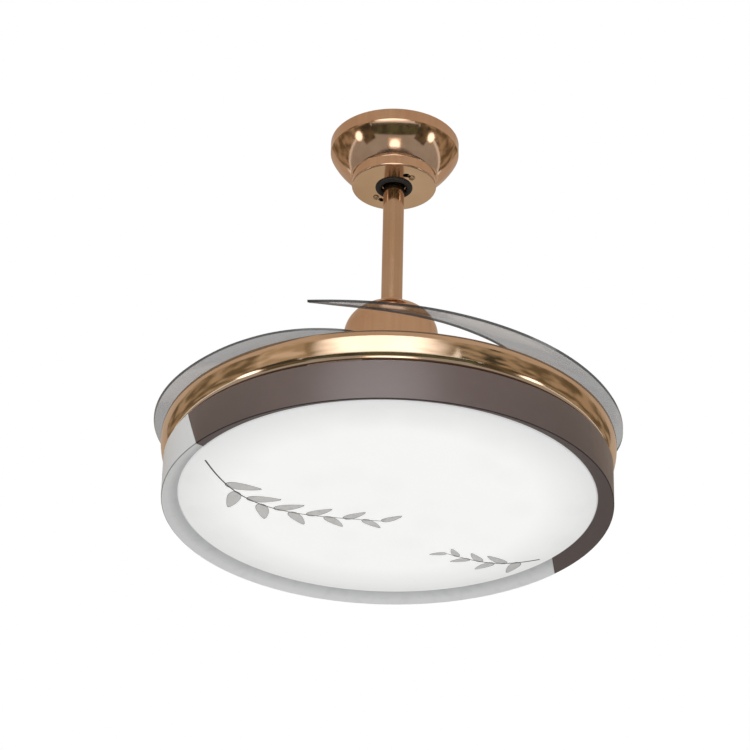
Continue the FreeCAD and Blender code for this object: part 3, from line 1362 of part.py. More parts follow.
def dark_region():
    """The room that the dark half of the trim ring takes up, between its two slanted seams."""
    low, high = RING_BASE_Z - OVERRUN, RING_TOP_Z + OVERRUN
    inner, outer = LIP_RADIUS - LIP_WIDTH, RING_RADIUS + OVERRUN
    first, second, reach = FIRST_SEAM_ANGLE, SECOND_SEAM_ANGLE, SEAM_REACH_ANGLE
    start = sector(inner, outer, low, high, first - reach, first + reach).common(seam_block(first, 1))
    end = sector(inner, outer, low, high, second - reach, second + reach).common(seam_block(second, -1))
    return fused(sector(inner, outer, low, high, first + reach, second - reach), start, end)


def trim_joint_plates():
    """Plates behind the two seams that tie the ring's halves."""
    half = JOINT_PLATE_ANGLE / 2
    outer = RING_BORE_RADIUS - FIT
    low, high = RING_BASE_Z + JOINT_PLATE_MARGIN, RING_TOP_Z - JOINT_PLATE_MARGIN
    return [
        sector(outer - JOINT_PLATE_SHEET, outer, low, high, angle - half, angle + half)
        for angle in (FIRST_SEAM_ANGLE, SECOND_SEAM_ANGLE)
    ]


def diffuser():
    """Opal dish that hangs through the ring on its rim."""
    slope = math.atan2(LIP_RISE, LIP_WIDTH)
    rest = RING_BASE_Z + LIP_RISE + RING_SHEET / math.cos(slope) + FIT
    top = rest + DIFFUSER_SHEET
    face = rest - DIFFUSER_DROP
    edge = LIP_RADIUS - CLEAR
    bend = DIFFUSER_EDGE
    slant = bend * (1 - math.sqrt(0.5))
    inner = edge - DIFFUSER_SHEET
    crown = face - DIFFUSER_CROWN
    section = Section(0, crown)
    width, height = cap_middle(edge - bend, DIFFUSER_CROWN)
    section.arc(width, crown + height, edge - bend, face)
    section.arc(edge - slant, face + slant, edge, face + bend)
    rim = LIP_RADIUS + DIFFUSER_RIM
    back = face + DIFFUSER_SHEET
    section.lines((edge, rest), (rim, rest), (rim, top), (inner, top), (inner, back))
    width, height = cap_middle(inner, DIFFUSER_CROWN)
    section.arc(width, back - DIFFUSER_CROWN + height, 0, back - DIFFUSER_CROWN)
    return section.turn()


def save_mount():
    """Writes what stays on the ceiling."""
    save("ceiling_bracket", ceiling_bracket())
    save("canopy", canopy())
    save("canopy_screws", *canopy_screws())
    save("rod_grommet", rod_grommet())
    save("terminal_block", terminal_block())


def save_hanger():
    """Writes the ball, the rod, the standing half of the motor and the lamp."""
    save("hanger_ball", hanger_ball())
    save("ball_pin", ball_pin())
    save("downrod", downrod())
    save("rod_cup", rod_cup())
    save("cup_grub_screw", cup_grub_screw())
    save("rod_coupling", rod_coupling())
    save("clevis_pin", clevis_pin())
    save("clevis_clip", clevis_clip())
    save("coupling_screws", *coupling_screws())
    save("motor_shaft", motor_shaft())
    save("stator_core", stator_core())
    save("stator_windings", *stator_windings())
    save("upper_bearing_inner", bearing_inner(UPPER_BEARING_Z))
    save("lower_bearing_inner", bearing_inner(LOWER_BEARING_Z))
    save("lamp_chassis", lamp_chassis())
    save("lamp_plate", lamp_plate())
    save("shaft_nut", shaft_nut())
    save("chassis_screws", *chassis_screws())
    save("led_board", led_board())
    save("led_lenses", *led_lenses())
    save("led_driver", control_box(1))
    save("fan_controller", control_box(-1))


def save_rotor():
    """Writes the turning half of the motor, the tray, its posts and springs, and the ring gear."""
    save("motor_lower_shell", motor_lower_shell())
    save("motor_upper_shell", motor_upper_shell())
    save("motor_screws", *motor_screws())
    save("rotor_ring", rotor_ring())
    save("rotor_magnets", *rotor_magnets())
    save("upper_bearing_outer", *bearing_outer(UPPER_BEARING_Z))
    save("lower_bearing_outer", *bearing_outer(LOWER_BEARING_Z))
    save("blade_tray", blade_tray())
    save("tray_screws", *tray_screws())
    save("sync_gear", sync_gear())
    blades = range(BLADE_COUNT)
    post, clip, spring = pivot_post(), pivot_clip(), return_spring()
    save("pivot_posts", *[at_pivot(post, blade) for blade in blades])
    save("pivot_clips", *[at_pivot(clip, blade) for blade in blades])
    save("return_springs", *[at_pivot(spring, blade) for blade in blades])


def save_blades():
    """Writes the blades, each with its gear, carrier, bush and screws."""
    gear, carrier, bush, leaf, screws = blade_gear(), blade_carrier(), blade_bush(), blade(), blade_screws()
    for index in range(BLADE_COUNT):
        number = index + 1
        save(f"blade_gear_{number}", at_pivot(gear, index))
        save(f"blade_carrier_{number}", at_pivot(carrier, index))
        save(f"blade_bush_{number}", at_pivot(bush, index))
        save(f"blade_{number}", turned_copy(leaf, PIVOT_ANGLE + BLADE_STEP_ANGLE * index))
        save(f"blade_screws_{number}", *[at_pivot(body, index) for body in screws])


def save_shade():
    """Writes the ring's two halves, their joint plates and the diffuser."""
    ring, dark = trim_ring(), dark_region()
    save("trim_ring_dark", ring.common(dark))
    save("trim_ring_light", ring.cut(dark))
    save("trim_joint_plates", *trim_joint_plates())
    save("diffuser", diffuser())


os.makedirs("parts", exist_ok=True)
save_mount()
save_hanger()
save_rotor()
save_blades()
save_shade()
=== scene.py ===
"""Looks of a ceiling fan with folding blades and a lamp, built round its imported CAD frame."""

from __future__ import annotations

import logging
import math
from dataclasses import dataclass
from enum import Enum
from functools import cache
from typing import Any, Sequence

import bpy
from mathutils import Matrix, Vector

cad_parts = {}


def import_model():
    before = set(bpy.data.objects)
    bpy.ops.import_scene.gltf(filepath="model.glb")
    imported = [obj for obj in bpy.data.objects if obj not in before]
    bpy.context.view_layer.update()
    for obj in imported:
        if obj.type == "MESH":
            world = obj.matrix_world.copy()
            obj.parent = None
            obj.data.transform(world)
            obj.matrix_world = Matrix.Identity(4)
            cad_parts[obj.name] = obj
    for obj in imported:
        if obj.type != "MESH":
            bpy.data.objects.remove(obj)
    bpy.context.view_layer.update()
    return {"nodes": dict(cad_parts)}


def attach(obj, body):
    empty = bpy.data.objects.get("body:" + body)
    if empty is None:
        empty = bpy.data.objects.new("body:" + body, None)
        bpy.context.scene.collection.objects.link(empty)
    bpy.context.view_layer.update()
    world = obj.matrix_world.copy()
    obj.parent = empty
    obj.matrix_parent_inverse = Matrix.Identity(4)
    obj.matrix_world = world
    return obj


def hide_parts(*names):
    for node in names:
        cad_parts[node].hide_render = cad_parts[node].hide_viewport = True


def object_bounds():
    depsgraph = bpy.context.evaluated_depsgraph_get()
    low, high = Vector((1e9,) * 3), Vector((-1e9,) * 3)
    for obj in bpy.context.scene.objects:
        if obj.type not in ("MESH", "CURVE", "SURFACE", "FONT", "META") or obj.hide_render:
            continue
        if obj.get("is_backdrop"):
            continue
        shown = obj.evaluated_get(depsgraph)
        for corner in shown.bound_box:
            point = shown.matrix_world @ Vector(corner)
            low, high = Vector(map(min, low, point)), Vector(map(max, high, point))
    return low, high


LOG = logging.getLogger("ceiling_fan")
MM = 0.001

# Points of an outline and of a mesh that are nearer than this are merged, in metres.
LINE_WELD = 1e-6
MESH_WELD = 2e-6

# How far a cutting tool stands out of a sheet, in millimetres.
PROUD = 2.0

Colour = tuple[float, float, float]
Place = tuple[float, float, float]
Point = tuple[float, float]


def polar(radius: float, degrees: float) -> Point:
    """The point at a radius and an angle about the fan's axis."""
    angle = math.radians(degrees)
    return radius * math.cos(angle), radius * math.sin(angle)


class Body(Enum):
    """The frame's bodies that new pieces ride on."""

    MOUNT = "mount_unit"
    HANGER = "hanger_unit"
    ROTOR = "rotor_unit"
    SHADE = "shade_unit"


class Slot(Enum):
    """Names of material slots; no piece in this script is given one."""

    ROSE_GOLD = "rose_gold"
    GOLD_TRAY = "gold_tray"
    ZINC = "zinc_steel"
    SPRING = "spring_steel"
    TAUPE = "taupe_paint"
    WHITE = "white_paint"
    OPAL = "opal"
    SMOKE = "smoke_acrylic"


class Wire:
    """A shader socket that takes part in Python sums."""

    def __init__(self, graph: Graph, socket: bpy.types.NodeSocket) -> None:
        """Keeps the socket and the graph that it belongs to."""
        self.graph = graph
        self.socket = socket

    def _sum(self, operation: str, first: Any, second: Any) -> Wire:
        """One Math node on two values."""
        return self.graph.add("ShaderNodeMath", {"operation": operation}, {0: first, 1: second})

    def __add__(self, other: Any) -> Wire:
        """This value plus another."""
        return self._sum("ADD", self, other)

    __radd__ = __add__

    def __sub__(self, other: Any) -> Wire:
        """This value less another."""
        return self._sum("SUBTRACT", self, other)

    def __rsub__(self, other: Any) -> Wire:
        """A number less this value."""
        return self._sum("SUBTRACT", other, self)

    def __mul__(self, other: Any) -> Wire:
        """This value times another."""
        return self._sum("MULTIPLY", self, other)

    __rmul__ = __mul__

    def __truediv__(self, other: Any) -> Wire:
        """This value over another."""
        return self._sum("DIVIDE", self, other)

    def __rtruediv__(self, other: Any) -> Wire:
        """A number over this value."""
        return self._sum("DIVIDE", other, self)

    def __pow__(self, other: Any) -> Wire:
        """This value to a power."""
        return self._sum("POWER", self, other)

    def sine(self) -> Wire:
        """The sine of this value."""
        return self._sum("SINE", self, 0.0)


class Graph:
    """The nodes of a material or of the world, added one by one."""

    def __init__(self, owner: bpy.types.Material | bpy.types.World) -> None:
        """Starts with no nodes.

        Args:
            owner: The material or the world.
        """
        self.owner = owner
        owner.use_nodes = True
        self.tree = owner.node_tree
        self.tree.nodes.clear()

    def add(
        self, kind: str, settings: dict | None = None, inputs: dict | None = None, output: Any = 0
    ) -> Wire:
        """Adds a node of any kind.

        Args:
            kind: The node's type.
            settings: Its settings, set first; "stops" fills a colour ramp.
            inputs: Values or wires by socket.
            output: The socket that the wire leaves from.

        Returns:
            The wire from that output.
        """
        node = self.tree.nodes.new(kind)
        for key, value in (settings or {}).items():
            if key == "stops":
                self._stops(node.color_ramp, value)
            else:
                setattr(node, key, value)
        for key, value in (inputs or {}).items():
            if isinstance(value, Wire):
                self.tree.links.new(value.socket, node.inputs[key])
            else:
                node.inputs[key].default_value = value
        return Wire(self, node.outputs[output])

    @staticmethod
    def _stops(ramp: bpy.types.ColorRamp, stops: Sequence[tuple[float, float]]) -> None:
        """Gives a ramp grey stops of place and level.

        Args:
            ramp: The ramp.
            stops: Each stop's place and level.
        """
        while len(ramp.elements) < len(stops):
            ramp.elements.new(1.0)
        for element, (place, level) in zip(ramp.elements, stops):
            element.position = place
            element.color = (level, level, level, 1.0)

    def place(self) -> Wire:
        """Object coordinates."""
        return self.add("ShaderNodeTexCoord", output="Object")

    def axis(self, name: str) -> Wire:
        """One of the object coordinates, by its letter."""
        return self.add("ShaderNodeSeparateXYZ", inputs={0: self.place()}, output=name)

    def radius(self) -> Wire:
        """The distance from the fan's axis.

        Returns:
            The distance, in metres.
        """
        level = {0: self.place(), 1: (1, 1, 0)}
        across = self.add("ShaderNodeVectorMath", {"operation": "MULTIPLY"}, level)
        return self.add("ShaderNodeVectorMath", {"operation": "LENGTH"}, {0: across}, "Value")

    def noise(self, scale: float, detail: float = 3.0, stretch: Place = (1, 1, 1)) -> Wire:
        """Soft noise from 0 to 1 on object coordinates, its scale in features per metre."""
        spot = self.add("ShaderNodeMapping", inputs={"Vector": self.place(), "Scale": stretch})
        return self.add("ShaderNodeTexNoise", inputs={"Vector": spot, "Scale": scale, "Detail": detail})

    def ramp(self, value: Wire, *stops: tuple[float, float]) -> Wire:
        """A value bent through grey stops."""
        return self.add("ShaderNodeValToRGB", {"stops": stops}, {"Fac": value})

    def blend(self, factor: Any, first: Any, second: Any) -> Wire:
        """A colour between two colours."""
        pair = [(*end, 1.0) if isinstance(end, tuple) else end for end in (first, second)]
        return self.add("ShaderNodeMix", {"data_type": "RGBA"}, {0: factor, 6: pair[0], 7: pair[1]}, 2)

    def bump(self, height: Wire, strength: float, depth: float) -> Wire:
        """The normal from a height of 0 to 1, whose depth is in metres."""
        inputs = {"Strength": strength, "Distance": depth, "Height": height}
        return self.add("ShaderNodeBump", inputs=inputs)

    def surface(self, **sockets: Any) -> bpy.types.Material:
        """Ends the material in one shader.

        Args:
            sockets: Values or wires by socket name, with _ for spaces.

        Returns:
            The material.
        """
        inputs = {key.replace("_", " "): value for key, value in sockets.items()}
        self.end("Material", self.add("ShaderNodeBsdfPrincipled", inputs=inputs))
        return self.owner

    def end(self, kind: str, shader: Wire) -> None:
        """Ends the graph of a Material or a World in a shader."""
        node = self.tree.nodes.new(f"ShaderNodeOutput{kind}")
        self.tree.links.new(shader.socket, node.inputs["Surface"])

    def seen(self) -> Wire:
        """1 for what the eye, polished pieces and clear pieces see, 0 for plain light.

        Returns:
            The share.
        """
        unseen = 1.0
        for kind in ("Camera", "Glossy", "Transmission"):
            unseen = (1 - self.add("ShaderNodeLightPath", output=f"Is {kind} Ray")) * unseen
        return 1 - unseen


@dataclass(frozen=True)
class Finish:
    """A finish with a name and a base colour."""

    name: str
    colour: Colour

    @cache
    def material(self) -> bpy.types.Material:
        """The finish as a material, made once."""
        return self.make(Graph(bpy.data.materials.new(self.name)))

    def make(self, graph: Graph) -> bpy.types.Material:
        """Builds the finish's nodes in a new graph."""
        raise NotImplementedError

    def toned(self, share: float) -> Colour:
        """The base colour made darker or paler."""
        return tuple(min(1.0, channel * share) for channel in self.colour)


@dataclass(frozen=True)
class Plating(Finish):
    """Polished plate with faint clouds, finger smudges and rubbing marks."""

    deep: Colour
    polish: float = 0.07

    def make(self, graph: Graph) -> bpy.types.Material:
        """Mirror metal whose polish varies a little.

        Args:
            graph: The new material's nodes.

        Returns:
            The material.
        """
        cloud = graph.ramp(graph.noise(14, 3), (0.35, 0.0), (0.7, 1.0))
        smudge = graph.noise(55, 5)
        rubs = graph.noise(240, 2, (1, 1, 9))
        colour = graph.blend(cloud, self.colour, self.deep)
        rough = self.polish + smudge * 0.07 + rubs * 0.02
        normal = graph.bump(graph.noise(1400, 2), 0.04, 0.0002)
        return graph.surface(Base_Color=colour, Metallic=1.0, Roughness=rough, Normal=normal)


@dataclass(frozen=True)
class SatinPaint(Finish):
    """Sprayed satin paint with a fine orange peel and a little dust, and painted shade that darkens it
    towards a gap at a radius.
    """

    dusty: Colour
    sheen: float = 0.4
    gloss: float = 0.5
    # The radius where painted shade is darkest, 0 for none, and how far out it fades, in metres.
    gap: float = 0.0
    gap_shade_reach: float = 0.011

    def make(self, graph: Graph) -> bpy.types.Material:
        """Paint with a soft gloss.

        Args:
            graph: The new material's nodes.

        Returns:
            The material.
        """
        dust = graph.ramp(graph.noise(90, 6), (0.5, 0.0), (0.85, 1.0))
        dust_and_gap_shade = dust * 0.25 + graph.noise(6, 2) * 0.2
        # Painted shade: the paint darkens towards the gap radius, standing in for the shade in the gap by
        # the diffuser.
        if self.gap:
            dust_and_gap_shade = dust_and_gap_shade + graph.ramp(graph.radius(), (self.gap, 0.8), (self.gap + self.gap_shade_reach, 0.0))
        colour = graph.blend(dust_and_gap_shade, self.colour, self.dusty)
        peel = graph.noise(650, 2)
        return graph.surface(
            Base_Color=colour,
            Roughness=self.sheen + dust * 0.12,
            Specular_IOR_Level=self.gloss,
            Normal=graph.bump(peel, 0.12, 0.0002),
        )


@dataclass(frozen=True)
class Moulded(Finish):
    """Moulded plastic or rubber with a fine grain."""

    grain: float = 900.0
    gloss: float = 0.5

    def make(self, graph: Graph) -> bpy.types.Material:
        """Plastic with slight flow marks.

        Args:
            graph: The new material's nodes.

        Returns:
            The material.
        """
        flow = graph.noise(30, 3, (1, 1, 0.3))
        colour = graph.blend(flow, self.colour, self.toned(0.72))
        grain = graph.noise(self.grain, 2)
        return graph.surface(
            Base_Color=colour, Roughness=self.gloss + flow * 0.15, Normal=graph.bump(grain, 0.25, 0.0003)
        )


@dataclass(frozen=True)
class Steel(Finish):
    """Plain or plated steel, drawn or turned along Z."""

    streak: float = 6.0
    rough: float = 0.25

    def make(self, graph: Graph) -> bpy.types.Material:
        """Metal with faint streaks and blotches.

        Args:
            graph: The new material's nodes.

        Returns:
            The material.
        """
        blotch = graph.noise(70, 4)
        streaks = graph.noise(500, 2, (1, 1, self.streak))
        colour = graph.blend(blotch, self.colour, self.toned(0.65))
        return graph.surface(
            Base_Color=colour,
            Metallic=1.0,
            Roughness=self.rough + blotch * 0.12 + streaks * 0.06,
            Normal=graph.bump(streaks, 0.1, 0.0002),
        )


@dataclass(frozen=True)
class Cast(Finish):
    """Die-cast metal with a blasted skin."""

    def make(self, graph: Graph) -> bpy.types.Material:
        """Dull metal with fine pits.

        Args:
            graph: The new material's nodes.

        Returns:
            The material.
        """
        pits = graph.ramp(graph.noise(1100, 3), (0.3, 0.0), (0.6, 1.0))
        cloud = graph.noise(25, 4)
        return graph.surface(
            Base_Color=graph.blend(cloud, self.colour, self.toned(0.7)),
            Metallic=0.9,
            Roughness=0.42 + cloud * 0.12,
            Normal=graph.bump(pits, 0.3, 0.0003),
        )


@dataclass(frozen=True)
class Banded(Finish):
    """Fine bands of wire or sheet, by height or by radius."""

    dark: Colour
    pitch: float
    upright: bool = True

    def make(self, graph: Graph) -> bpy.types.Material:
        """Metal bands with dark gaps.

        Args:
            graph: The new material's nodes.

        Returns:
            The material.
        """
        run = graph.axis("Z") if self.upright else graph.radius()
        wave = (run * (2 * math.pi / (self.pitch * MM))).sine() * 0.5 + 0.5
        gaps = graph.ramp(wave, (0.05, 0.0), (0.4, 1.0))
        return graph.surface(
            Base_Color=graph.blend(gaps, self.dark, self.colour),
            Metallic=0.85,
            Roughness=0.5 - wave * 0.15,
            Normal=graph.bump(wave, 0.5, 0.0004),
        )


@dataclass(frozen=True)
class Smoke(Finish):
    """Smoke-tinted clear acrylic, or its darker cut edge."""

    cover: float = 0.4

    def make(self, graph: Graph) -> bpy.types.Material:
        """See-through tint with a hard gloss and faint wipe marks.

        Args:
            graph: The new material's nodes.

        Returns:
            The material.
        """
        wipe = graph.noise(18, 4, (1, 1, 3))
        specks = graph.ramp(graph.noise(420, 2), (0.68, 0.0), (0.74, 1.0))
        return graph.surface(
            Base_Color=graph.blend(specks * 0.5, self.colour, self.toned(1.7)),
            Roughness=0.05 + wipe * 0.08,
            Alpha=self.cover + wipe * 0.06 + specks * 0.05,
            IOR=1.49,
            Coat_Weight=0.3,
            Coat_Roughness=0.03,
        )


@dataclass(frozen=True)
class Opal(Finish):
    """Opal acrylic, lit from behind by the lamp's rings of lenses."""

    rim: Colour
    reach: float = 0.209
    cells: float = 21.0
    glow: float = 0.41

    def make(self, graph: Graph) -> bpy.types.Material:
        """White that glows less towards its rim, its colour greyed towards the rim as painted shade, with
        faint round spots.

        Args:
            graph: The new material's nodes.

        Returns:
            The material.
        """
        share = graph.radius() / self.reach
        fall = graph.ramp(share, (0.72, 0.0), (1.0, 1.0))
        cells = graph.add("ShaderNodeTexVoronoi", inputs={"Vector": graph.place(), "Scale": self.cells})
        spots = graph.ramp(cells, (0.3, 1.0), (0.42, 0.0))
        haze = graph.noise(12, 3)
        # Painted shade: fall greys the base colour towards the rim, and it also dims the glow there.
        tone = fall * 0.75 + spots * 0.07 + haze * 0.06
        return graph.surface(
            Base_Color=graph.blend(tone, self.colour, self.rim),
            Roughness=0.22 + haze * 0.06,
            Emission_Color=graph.blend(tone, (1.0, 1.0, 1.0), self.rim),
            Emission_Strength=self.glow,
            Coat_Weight=0.4,
            Coat_Roughness=0.08,
        )


@dataclass(frozen=True)
class Print(Finish):
    """Printed ink on the diffuser."""

    cover: float = 0.9

    def make(self, graph: Graph) -> bpy.types.Material:
        """Ink with an uneven cover.

        Args:
            graph: The new material's nodes.

        Returns:
            The material.
        """
        patch = graph.noise(160, 4)
        return graph.surface(
            Base_Color=graph.blend(patch, self.colour, self.toned(1.25)),
            Roughness=0.35 + patch * 0.1,
            Alpha=self.cover - patch * 0.2,
        )


ROSE_GOLD = Plating("rose_gold_plate", (0.80, 0.55, 0.38), (0.70, 0.45, 0.29), 0.06)
ROD_GOLD = Plating("rose_gold_rod", (0.69, 0.485, 0.33), (0.64, 0.43, 0.28), 0.08)
TRAY_GOLD = Plating("gold_plate", (0.87, 0.67, 0.49), (0.79, 0.58, 0.40), 0.05)
ZINC = Steel("zinc_plate", (0.62, 0.62, 0.61))
BRASS_SCREW = Steel("gilt_screw", (0.72, 0.53, 0.34), 3.0, 0.2)
SPRING_WIRE = Steel("spring_wire", (0.30, 0.30, 0.32), 1.0, 0.3)
GROUND = Steel("ground_steel", (0.70, 0.70, 0.72), 14.0, 0.16)
BRONZE = Steel("sintered_bronze", (0.60, 0.42, 0.22), 1.0, 0.4)
COPPER = Banded("copper_winding", (0.72, 0.36, 0.20), (0.16, 0.06, 0.03), 0.9, False)
LAMINATED = Banded("laminated_core", (0.42, 0.42, 0.44), (0.10, 0.10, 0.11), 0.8)
FERRITE = Cast("ferrite", (0.13, 0.13, 0.14))
CAST = Cast("cast_aluminium", (0.70, 0.70, 0.71))
RUBBER = Moulded("black_rubber", (0.025, 0.024, 0.023), 700.0, 0.6)
BLACK = Moulded("black_nylon", (0.05, 0.05, 0.055), 900.0, 0.45)
ACETAL = Moulded("acetal", (0.84, 0.83, 0.78), 900.0, 0.4)
WHITE_PLASTIC = Moulded("white_plastic", (0.86, 0.86, 0.84), 1100.0, 0.45)
WHITE_PAN = SatinPaint("white_powder", (0.86, 0.87, 0.87), (0.74, 0.74, 0.72), 0.5)
BOARD = SatinPaint("white_mask", (0.88, 0.89, 0.88), (0.78, 0.80, 0.78), 0.45)
LENS = Smoke("clear_lens", (0.86, 0.88, 0.90), 0.45)
TAUPE = SatinPaint("taupe_paint", (0.106, 0.077, 0.073), (0.14, 0.11, 0.10), 0.33, 1.0)
# The lip copies of the trim ring's paints are paler than the walls': painted light on the downward lip.
TAUPE_LIT_LIP = SatinPaint("taupe_lit_lip", (0.130, 0.102, 0.097), (0.17, 0.14, 0.13), 0.6, 0.1)
# The edge copies are dark: painted shade along the ring's outer bottom bevel.
TAUPE_EDGE_SHADE = SatinPaint("taupe_edge_shade", (0.030, 0.023, 0.022), (0.05, 0.04, 0.04), 0.5, 0.2)
WHITE = SatinPaint("white_paint", (0.82, 0.83, 0.83), (0.72, 0.73, 0.73), 0.36, 0.4)
# The white lip's paler copy is painted light, and it darkens towards its inner edge at 0.209 m as painted
# shade by the gap.
WHITE_LIP_LIGHT_AND_SHADE = SatinPaint("white_lip_light_and_shade", (0.88, 0.89, 0.89), (0.55, 0.56, 0.56), 0.5, 0.2, 0.209)
WHITE_EDGE_SHADE = SatinPaint("white_edge_shade", (0.34, 0.35, 0.35), (0.28, 0.29, 0.29), 0.5, 0.2)
# The opal's second colour is the grey of painted shade at the dish's rim.
OPAL = Opal("opal_acrylic", (0.89, 0.90, 0.90), (0.70, 0.71, 0.715))
SMOKE = Smoke("smoke_acrylic", (0.16, 0.17, 0.175), 0.42)
SMOKE_EDGE = Smoke("smoke_edge", (0.035, 0.037, 0.04), 0.86)
INK = Print("stem_ink", (0.10, 0.085, 0.085), 0.95)
PALE_INK = Print("leaf_ink", (0.60, 0.59, 0.58), 0.6)


class NodeFinishes:
    """Which finish each CAD node that stays in view gets."""

    nodes: dict[Finish, tuple[str, ...]] = {
        ZINC: (
            "ceiling_bracket", "rod_coupling", "lamp_plate", "ball_pin", "clevis_pin", "clevis_clip",
            "shaft_nut", "cup_grub_screw", "coupling_screws", "chassis_screws", "tray_screws",
            "pivot_posts", "pivot_clips", "trim_joint_plates",
        ),
        GROUND: (
            "motor_shaft", "upper_bearing_inner", "lower_bearing_inner", "upper_bearing_outer",
            "lower_bearing_outer", "rotor_ring",
        ),
        LAMINATED: ("stator_core",),
        COPPER: ("stator_windings",),
        FERRITE: ("rotor_magnets",),
        CAST: ("motor_lower_shell", "motor_upper_shell"),
        RUBBER: ("rod_grommet",),
        BLACK: ("hanger_ball", "blade_carrier_1", "blade_carrier_2", "blade_carrier_3"),
        ACETAL: ("sync_gear", "blade_gear_1", "blade_gear_2", "blade_gear_3"),
        BRONZE: ("blade_bush_1", "blade_bush_2", "blade_bush_3"),
        WHITE_PLASTIC: ("terminal_block", "led_driver", "fan_controller"),
        WHITE_PAN: ("lamp_chassis",),
        BOARD: ("led_board",),
        LENS: ("led_lenses",),
    }

    def dress(self, nodes: dict[str, bpy.types.Object]) -> None:
        """Puts each finish on its nodes.

        Args:
            nodes: The frame's nodes by name.
        """
        for finish, names in self.nodes.items():
            material = finish.material()
            for name in names:
                piece = nodes[name]
                if not piece.material_slots:
                    piece.data.materials.append(material)
                for slot in piece.material_slots:
                    slot.material = material
            LOG.info("%s on %d nodes", finish.name, len(names))


@dataclass
class Outline:
    """A cross-section of radii and heights in millimetres, drawn point by point."""

    points: list[Point]

    def to(self, *points: Point) -> Outline:
        """Straight runs on through the points."""
        self.points += points
        return self

    def round(self, end: Point, centre: Point, steps: int = 10) -> Outline:
        """A quarter of an ellipse on to a point.

        Args:
            end: Where it ends.
            centre: The ellipse's centre.
            steps: Runs along it.

        Returns:
            The outline itself.
        """
        start = self.points[-1]
        for step in range(1, steps + 1):
            turn = math.pi / 2 * step / steps
            near, far = math.cos(turn), math.sin(turn)
            spans = zip(start, end, centre)
            self.points.append(tuple(c + (s - c) * near + (e - c) * far for s, e, c in spans))
        return self

    def sweep(self, centre: Point, radius: float, first: float, last: float, steps: int) -> Outline:
        """A circular arc about a centre, with both its ends.

        Args:
            centre: The arc's centre.
            radius: Its radius.
            first: The angle where it starts, in degrees.
            last: The angle where it ends.
            steps: Runs along it.

        Returns:
            The outline itself.
        """
        for step in range(steps + 1):
            across, up = polar(radius, first + (last - first) * step / steps)
            self.points.append((centre[0] + across, centre[1] + up))
        return self


